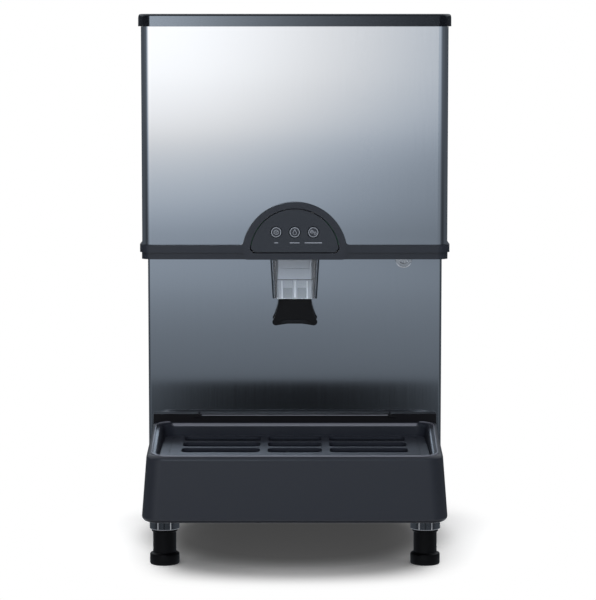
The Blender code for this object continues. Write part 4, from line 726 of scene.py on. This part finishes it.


# Ice spout: a tapered square tube of translucent white plastic with a stepped collar, two grey panes and two
# upright ribs on the front of its mouth. The panes are darker grey, a painted shade for the dark inside seen
# through the front. The water nozzle hangs between the ribs, from a shroud over its upper half, and two grey rails
# hold the shield, with a thin dark strip below the shroud as a painted shadow for the gap there.
milk_plastic = add_finish("milk_plastic", (0.34, 0.362, 0.405), 0.3, 400, bump=0.02)
spout_front, spout_rear, spout_wall, spout_round = -0.147, -0.116, 0.002, 0.003
mouth_z, line_z, collar_z, spout_top = 0.3838, 0.4105, 0.43, 0.4519
mouth_half, spout_flare = 0.0245, 0.0023
line_half, line_grow, collar_grow, collar_top = 0.0006, 0.0012, 0.0008, 0.4465


def spout_ring(z, grow):
    half_width = mouth_half + (z - mouth_z) / (spout_top - mouth_z) * spout_flare + grow
    outline = rounded((-half_width, spout_front - grow), (half_width, spout_rear + grow), spout_round, 4)
    return [(x, y, z) for x, y in outline]


levels = ((mouth_z, 0), (line_z - line_half, 0), (line_z - line_half, line_grow), (line_z + line_half, line_grow),
          (line_z + line_half, 0), (collar_z, 0), (collar_z + 0.0008, collar_grow), (collar_top, collar_grow),
          (collar_top + 0.0002, 0), (spout_top, 0))
spout = add_rings("ice_spout", [spout_ring(z, grow) for z, grow in levels])
combine(spout, add_rings("spout_bore", [spout_ring(mouth_z - 0.002, -spout_wall),
                                        spout_ring(spout_top + 0.002, -spout_wall)]))
soften(spout, 0.0004, 2)
fit(spout, "chute_plastic", milk_plastic, "ice_chute")
shroud_front, shroud_rear, shroud_half, shroud_bottom, shroud_top = -0.1551, -0.1483, 0.024, 0.4112, 0.444
shroud_bore = rounded((-0.0045, -0.153), (0.0045, -0.147), 0.001, 3)
step_half, step_bottom, step_top, step_y = 0.0205, 0.4262, 0.4272, -0.1546
shroud = add_plate("spout_shroud", rounded((-shroud_half, shroud_front), (shroud_half, shroud_rear), 0.002, 4), "Z",
                   shroud_bottom, shroud_top)
cut_out(shroud, shroud_bore, "Z", 0.4, 0.45)
cut_out(shroud, square((-step_half, step_bottom), (step_half, step_top)), "Y", -0.156, step_y)
soften(shroud, 0.0004, 2)
fit(shroud, "chute_plastic", milk_plastic)
rib_white = add_finish("rib_white", (0.64, 0.66, 0.7), 0.35, 400, bump=0.02)
nozzle_place = (0, -0.1513, 0)
nozzle_profile = [(0.0014, 0.3858), (0.0017, 0.3866), (0.0017, 0.4085), (0.0032, 0.4108), (0.0032, 0.4519)]
nozzle = add_turned("spout_nozzle", nozzle_profile, "Z", nozzle_place, 24)
add_bore(nozzle, 0.0009, 0.38, 0.46, "Z", nozzle_place, 24)
smooth(nozzle)
fit(nozzle, "chute_plastic", rib_white, "water_nozzle")
rib_half, rib_front, rib_rear = 0.001, spout_front - 0.003, spout_front - 0.0002
ribs = join([add_plate("spout_ribs", rounded((x - rib_half, rib_front), (x + rib_half, rib_rear), 0.0008, 3), "Z",
                       mouth_z + 0.0005, line_z - 0.002) for x in (-0.0178, 0.0172)])
smooth(ribs)
fit(ribs, "chute_plastic", rib_white)
# Painted shade: the panes are darker grey for the dark inside seen through the spout's front.
painted_shade_grey = add_finish("painted_shade_grey", (0.19, 0.21, 0.23), 0.3, 400, spread=0.06, bump=0.02)
pane_bottom, pane_top = mouth_z + 0.001, mouth_z + 0.015
panes = join([add_plate("spout_panes", rounded((low_x, pane_bottom), (high_x, pane_top), 0.0012, 3), "Y",
                        spout_front - 0.0003, spout_front + 0.0005)
              for low_x, high_x in ((-0.016, -0.0035), (0.0035, 0.0155))])
soften(panes, 0.0001, 1)
fit(panes, "chute_plastic", painted_shade_grey)
rail_grey = add_finish("rail_grey", (0.034, 0.038, 0.048), 0.4, 600, bump=0.02)
rail_inner, rail_foot, rail_head = 0.0246, 0.027, 0.0302
gap_shadow_half, gap_shadow_front, gap_shadow_rear = 0.0268, -0.1553, -0.153
rails = [add_plate("spout_rails", [(side * rail_inner, pane_bottom), (side * rail_foot, pane_bottom),
                                   (side * rail_head, shroud_top), (side * rail_inner, shroud_top)], "Y",
                   -0.1552, -0.149) for side in (-1, 1)]
# Painted shadow: a thin dark strip across the front below the shroud, for the shade in the gap there.
rails.append(add_plate("gap_shadow", square((-gap_shadow_half, gap_shadow_front), (gap_shadow_half, gap_shadow_rear)), "Z", 0.4102, 0.4113))
rails = join(rails)
soften(rails, 0.0002, 1)
fit(rails, "chute_plastic", rail_grey)


# Dispense paddle: black moulding, flared towards two lobes with a lip between them, on an arm that hangs
# from a steel pin behind the spout.
paddle_black = add_finish("paddle_black", (0.0018, 0.0018, 0.0024), 0.38, 900, bump=0.03, Specular_IOR_Level=0.22)
pivot_y, pivot_z = -0.11, 0.4381
paddle_front, paddle_rear = -0.1257, -0.1207
paddle_top, paddle_bottom = 0.3831, 0.3435
lobe_radius, lip_bottom, lip_slope = 0.005, 0.3475, 0.2
arm_half, arm_front, arm_rear, arm_foot = 0.012, -0.11375, -0.10625, 0.3765
flank = [(0.0228, paddle_top), (0.0232, 0.3745), (0.0243, 0.368), (0.026, 0.362), (0.0281, 0.356), (0.03, 0.3515)]
lobe = arc((0.0264, paddle_bottom + lobe_radius), lobe_radius, 25, -95, 8)
right_edge = flank + lobe + [(0.019, paddle_bottom + 0.0012), (0.01, paddle_bottom + 0.0025)]
paddle = add_plate("dispense_paddle", mirrored(right_edge), "Y", paddle_front, paddle_rear)
lip_edge = [(0.0225, 0.3462), (0.0165, 0.35), (0.01, 0.3517)]
lip = add_plate("paddle_lip", mirrored(lip_edge) + [(-0.01, lip_bottom), (0.01, lip_bottom)], "Y",
                paddle_front - 0.0018, paddle_front + 0.001)
for vertex in lip.data.vertices:
    if vertex.co.y < paddle_front:
        vertex.co.y += (vertex.co.z - lip_bottom) * lip_slope
combine(paddle, lip, "UNION")
arm_outline = [(paddle_front + 0.001, arm_foot), (arm_rear, arm_foot), (arm_rear, pivot_z), (arm_front, pivot_z),
               (arm_front, paddle_top), (paddle_front + 0.001, paddle_top)]
combine(paddle, add_plate("paddle_arm", arm_outline, "X", -arm_half, arm_half), "UNION")
pivot = (0, pivot_y, pivot_z)
combine(paddle, add_turned("paddle_hub", [(0.006, -0.0123), (0.006, 0.0123)], "X", pivot, 32), "UNION")
add_bore(paddle, 0.0028, -0.02, 0.02, "X", pivot, 32)
soften(paddle, 0.0009, 3)
fit(paddle, "lever_plastic", paddle_black, "dispense_lever", body="lever")


# Drip tray: one deep black moulding with a rolled rim and a pocket for the grille over a basin, with a spigot
# to the drain. A matt strip with a ridge and two pegs closes its rear along the splash skin. The lighter grey of
# the bead on the rim, the rail along the pocket's rear edge and the strip's ridge is a painted highlight.
tray_slate = add_finish("tray_slate", (0.0072, 0.0086, 0.0132), 0.45, 700, spread=0.04, bump=0.02,
                        Coat_Weight=0.25, Coat_Roughness=0.15)
# Painted highlight: a lighter grey for the bead, the rear rail and the ridge, in place of the glints along these
# edges.
painted_highlight_slate = add_finish("painted_highlight_slate", (0.08, 0.085, 0.104), 0.35, 700, spread=0.04, bump=0.02)
tray_front, tray_rear = -0.3, -0.0953
foot_half_front, rim_lean_front, foot_half_rear, rim_lean_rear, rim_set_back = 0.205, 0.0061, 0.2047, 0.0052, 0.003
tray_corner = 0.022
rim_front_z, rim_rise, shoulder = 0.1885, 0.0175, 0.0014
foot_rear_z, foot_drop = 0.1154, 0.0175


def tray_share(y):
    return (y - tray_front) / (tray_rear - tray_front)


def tray_ring(lean_share, inset, foot_lift=None, rim_fall=None):
    """One level of the tray's outside, moved in by its lean and an inset, by its foot or by its rim."""
    front = tray_front + rim_set_back * lean_share + inset
    half_front = foot_half_front - rim_lean_front * lean_share - inset
    half_rear = foot_half_rear - rim_lean_rear * lean_share - inset
    corner = tray_corner - inset
    left = [(-half_rear, tray_rear)] + arc((-half_front + corner, front + corner), corner, 180, 270, 10)
    ring = mirrored(left)
    if rim_fall is None:
        return [(x, y, foot_rear_z - foot_drop * (1 - tray_share(y)) + foot_lift) for x, y in ring]
    return [(x, y, rim_front_z + rim_rise * tray_share(y) - rim_fall) for x, y in ring]


foot_round, rim_round = 0.006, 0.005
turns = [radians(turn) for turn in (0, 18, 36, 54, 72, 90)]
rings = [tray_ring(0, foot_round - foot_round * sin(turn), foot_lift=foot_round - foot_round * cos(turn))
         for turn in turns]
rings += [tray_ring(1, rim_round - rim_round * cos(turn), rim_fall=shoulder + rim_round - rim_round * sin(turn))
          for turn in turns]
tray = add_rings("catch_tray", rings)
pocket_half, pocket_front, pocket_rear, pocket_corner = 0.182, -0.286, -0.1103, 0.015
pocket_widening = 0.018


def pocket_ring(grow, level=None, rim_fall=0.0, spread=1.0):
    """One level of the pocket. Towards the rim it widens to the rear."""
    ring = rounded((-pocket_half - grow, pocket_front - grow), (pocket_half + grow, pocket_rear + grow),
                   pocket_corner + grow, 8)
    ring = [(x + (spread - 1) * max(grow, 0) * (1 if x > 0 else -1), y) for x, y in ring]
    if level is not None:
        return [(x, y, level) for x, y in ring]
    return [(x * (1 + pocket_widening * tray_share(y)), y, rim_front_z + rim_rise * tray_share(y) - rim_fall)
            for x, y in ring]


edge, pocket_floor = 0.0048, 0.1812
cutter_rings = [pocket_ring(0, pocket_floor), pocket_ring(0, rim_fall=shoulder + edge)]
cutter_rings += [pocket_ring(edge - edge * cos(turn), rim_fall=shoulder + edge - edge * sin(turn))
                 for turn in turns[1:]]
cutter_rings.append(pocket_ring(edge, rim_fall=-0.012))
combine(tray, add_rings("pocket", cutter_rings))
combine(tray, add_rings("basin", [pocket_ring(-0.01, 0.152), pocket_ring(-0.006, 0.156), pocket_ring(-0.006, 0.186)]))
under = rounded((-0.1862, -0.294), (0.1862, tray_rear - 0.003), 0.018, 8)
cut_out(tray, under, "Z", 0.09, 0.149)
spigot_place = (drain_x, 0, spigot_z)
spigot = [(0.008, tray_rear - 0.015), (0.008, -0.086)]
combine(tray, add_turned("tray_spigot", spigot, "Y", spigot_place, 32), "UNION")
add_bore(tray, 0.005, tray_rear - 0.03, -0.08, "Y", spigot_place, 32)
soften(tray, 0.0008, 2, 45)
fit(tray, "tray_plastic", tray_slate, "drip_tray")
# The bead is lighter grey, a painted highlight along the rolled rim.
bead_spread, bead_inner = 1.7, 0.0049
bead = add_rings("rim_bead", [pocket_ring(0.007, rim_fall=0.004, spread=bead_spread),
                              pocket_ring(0.006, rim_fall=0.0, spread=bead_spread)])
combine(bead, add_rings("bead_inside", [pocket_ring(bead_inner, rim_fall=rim_fall, spread=bead_spread)
                                        for rim_fall in (0.008, -0.008)]))
soften(bead, 0.0004, 2)
fit(bead, "tray_plastic", painted_highlight_slate)
# The rear rail is lighter grey, a painted highlight along the pocket's rear edge.
rail_outline = [(-0.1103, 0.1984), (-0.1101, 0.2006), (-0.1084, 0.2028), (-0.1058, 0.2028), (-0.1058, 0.1984)]
rail_half = 0.1765
rail = add_plate("rear_rail", rail_outline, "X", -rail_half, rail_half)
soften(rail, 0.0004, 2)
fit(rail, "tray_plastic", painted_highlight_slate)
strip_black = add_finish("strip_black", (0.004, 0.004, 0.005), 0.6, 900, bump=0.03, Specular_IOR_Level=0.15)
strip_top = 0.2155
strip_right = [(0.1995, 0.19), (0.199, strip_top), (0.1365, strip_top), (0.1345, 0.214), (0.1325, strip_top)]
strip = add_plate("tray_strip", mirrored(strip_right), "Y", tray_rear - 0.0103, tray_rear - 0.0001)
peg_profile = [(0.0024, -0.006), (0.0032, -0.005), (0.0032, 0.005), (0.0024, 0.006)]
peg_x, peg_y, peg_z = 0.137, tray_rear - 0.0078, 0.2115
for side in (-1, 1):
    combine(strip, add_turned("strip_peg", peg_profile, "X", (side * peg_x, peg_y, peg_z), 20), "UNION")
soften(strip, 0.0008, 2, 45)
fit(strip, "tray_plastic", strip_black)
# The ridge is lighter grey, a painted highlight along the top of the strip.
ridge_half, ridge_bottom, ridge_top = 0.131, 0.2132, 0.2144
ridge_outline = [(tray_rear - 0.0107, ridge_bottom), (tray_rear - 0.0095, ridge_bottom),
                 (tray_rear - 0.0095, ridge_top), (tray_rear - 0.0104, ridge_top)]
ridge = add_plate("strip_ridge", ridge_outline, "X", -ridge_half, ridge_half)
soften(ridge, 0.0002, 2)
fit(ridge, "tray_plastic", painted_highlight_slate)


# Drip grille: a lift-out black moulding with three rows of three wide slots, whose edges are well rounded,
# and a shallow line round the field of slots.
grille_slate = add_finish("grille_slate", (0.0085, 0.01, 0.015), 0.5, 700, spread=0.04, bump=0.02,
                          Coat_Weight=0.1, Coat_Roughness=0.25)
grille_top, grille_thick, row_pitch, line_depth = 0.1855, 0.004, 0.046, 0.0006
grille = add_plate("catch_grille", rounded((-0.1817, -0.2857), (0.1817, -0.1106), 0.0147, 8), "Z",
                   grille_top - grille_thick, grille_top)
for low_x, high_x in ((-0.1538, -0.0475), (-0.037, 0.037), (0.0475, 0.1538)):
    slot_outline = rounded((low_x, -0.24615), (high_x, -0.21215), 0.008, 5)
    combine(grille, add_repeats("slots", slot_outline, "Z", grille_top - 0.008, grille_top + 0.004,
                                (3, (0, row_pitch, 0))))
field = add_plate("field_line", rounded((-0.17, -0.276), (0.17, -0.1203), 0.012, 6), "Z",
                  grille_top - line_depth, grille_top + 0.002)
cut_out(field, rounded((-0.169, -0.275), (0.169, -0.1213), 0.011, 6), "Z", grille_top - 0.002, grille_top + 0.004)
combine(grille, field)
soften(grille, 0.0011, 3, 45)
fit(grille, "tray_plastic", grille_slate, "drip_grille", body="drip_grille")


# Key lock: a chromed barrel with a rounded flange, pushed through the splash skin, and the turning plug
# with its key slot.
lock_place = (lock_x, splash_y, lock_z)
lock_profile = [(0.0104, -0.0033), (0.0114, -0.0028), (0.0119, -0.0018), (0.0119, -0.0003), (0.009, -0.0003),
                (0.009, 0.022)]
plug_profile = [(0.0054, -0.0048), (0.006, -0.0042), (0.006, 0.0132)]
key_half_width, key_half_height = 0.001, 0.004
lock = add_turned("lock_barrel", lock_profile, "Y", lock_place)
add_bore(lock, 0.0063, -0.006, 0.0135, "Y", lock_place)
smooth(lock)
fit(lock, "bright_steel", bright_steel, "key_lock_body")
plug = add_turned("lock_plug", plug_profile, "Y", lock_place)
key_slot = rounded((lock_x - key_half_width, lock_z - key_half_height),
                   (lock_x + key_half_width, lock_z + key_half_height), 0.0006, 3)
cut_out(plug, key_slot, "Y", splash_y - 0.006, splash_y + 0.001)
smooth(plug)
fit(plug, "bright_steel", bright_steel, "key_lock_plug", body="lock_plug")


# Legs: turned bright sleeves under the base, each closed below by a black collar, with a black screw foot on
# a broad pad.
leg_steel = add_finish("leg_steel", (0.38, 0.385, 0.4), 0.1, (900, 900, 25), Metallic=1.0)
foot_black = add_finish("foot_black", (0.0018, 0.0018, 0.0022), 0.4, 600, spread=0.05, bump=0.03,
                        Specular_IOR_Level=0.15)
leg_x, front_leg_y, rear_leg_y, leg_bore = 0.1848, -0.097, 0.248, 0.0168
sleeve_profile = [(0.02, 0.0507), (0.0209, 0.051), (0.0212, 0.0518), (0.0212, 0.1047)]
collar_profile = [(0.0178, 0.047), (0.0184, 0.0475), (0.0184, 0.05), (0.0178, 0.0506)]
foot_profile = [(0.019, 0), (0.0205, 0.0006), (0.021, 0.002), (0.021, 0.0135), (0.0204, 0.0152),
                (0.0192, 0.016), (0.0173, 0.0163), (0.0165, 0.017), (0.0165, 0.0945), (0.0155, 0.0957)]
for name, x, y in (("front_left", -leg_x, front_leg_y), ("front_right", leg_x, front_leg_y),
                   ("rear_left", -leg_x, rear_leg_y), ("rear_right", leg_x, rear_leg_y)):
    sleeve = add_turned(name + "_sleeve", sleeve_profile, "Z", (x, y, 0))
    add_bore(sleeve, leg_bore, 0.04, 0.0987, "Z", (x, y, 0))
    smooth(sleeve)
    fit(sleeve, "bright_steel", leg_steel, name + "_leg")
    collar = add_turned(name + "_collar", collar_profile, "Z", (x, y, 0))
    add_bore(collar, leg_bore, 0.04, 0.06, "Z", (x, y, 0))
    smooth(collar)
    fit(collar, "bright_steel", foot_black)
    foot = add_turned(name + "_pad", foot_profile, "Z", (x, y, 0))
    smooth(foot)
    fit(foot, "foot_rubber", foot_black, name + "_foot", body=name + "_foot")


# Water fittings at the rear: a turned brass inlet valve, and a grey rubber drain hose with its fitting. Both
# come out through holes in the rear skin.
brass = add_finish("brass", (0.7, 0.5, 0.22), 0.28, 300, spread=0.06, Metallic=1.0)
grey_rubber = add_finish("grey_rubber", (0.09, 0.09, 0.1), 0.6, 500, spread=0.08)
paint(brass, "water_inlet_valve")
paint(grey_rubber, "drain_hose")


# Power inlet: a flanged black moulding with the three-pin socket and, above it, a rocker switch. It snaps
# into the rear skin.
paint(dark_moulding, "power_inlet")
paint(coated_black, "power_switch")


# Top lid: a hollow gloss black moulding laid over the upper housing. Its front leans back a little and
# its upper edges are rounded.
lid_black = add_finish("lid_black", (0.0045, 0.0052, 0.007), 0.08, 500, spread=0.02,
                       rough_spread=0.02, bump=0.01, IOR=1.75)
lid_half, lid_front, lid_rear, lid_corner = 0.21, -0.233, 0.291, 0.017
lid_rings = []
for inset, lean_in, z in ((0, 0, 0.7585), (0, 0.0012, 0.77), (0.0003, 0.0015, 0.7722), (0.001, 0.0022, 0.7738),
                          (0.0022, 0.0034, 0.7747), (0.004, 0.0052, 0.775)):
    outline = rounded((-lid_half + inset, lid_front + lean_in), (lid_half - inset, lid_rear - inset),
                      lid_corner - inset, 10)
    lid_rings.append([(x, y, z) for x, y in outline])
lid = add_rings("gloss_lid", lid_rings)
cut_out(lid, rounded((-0.206, -0.229), (0.206, 0.287), 0.013, 8), "Z", 0.755, 0.7725)
smooth(lid)
fit(lid, "gloss_black_cover", lid_black, "top_cover")
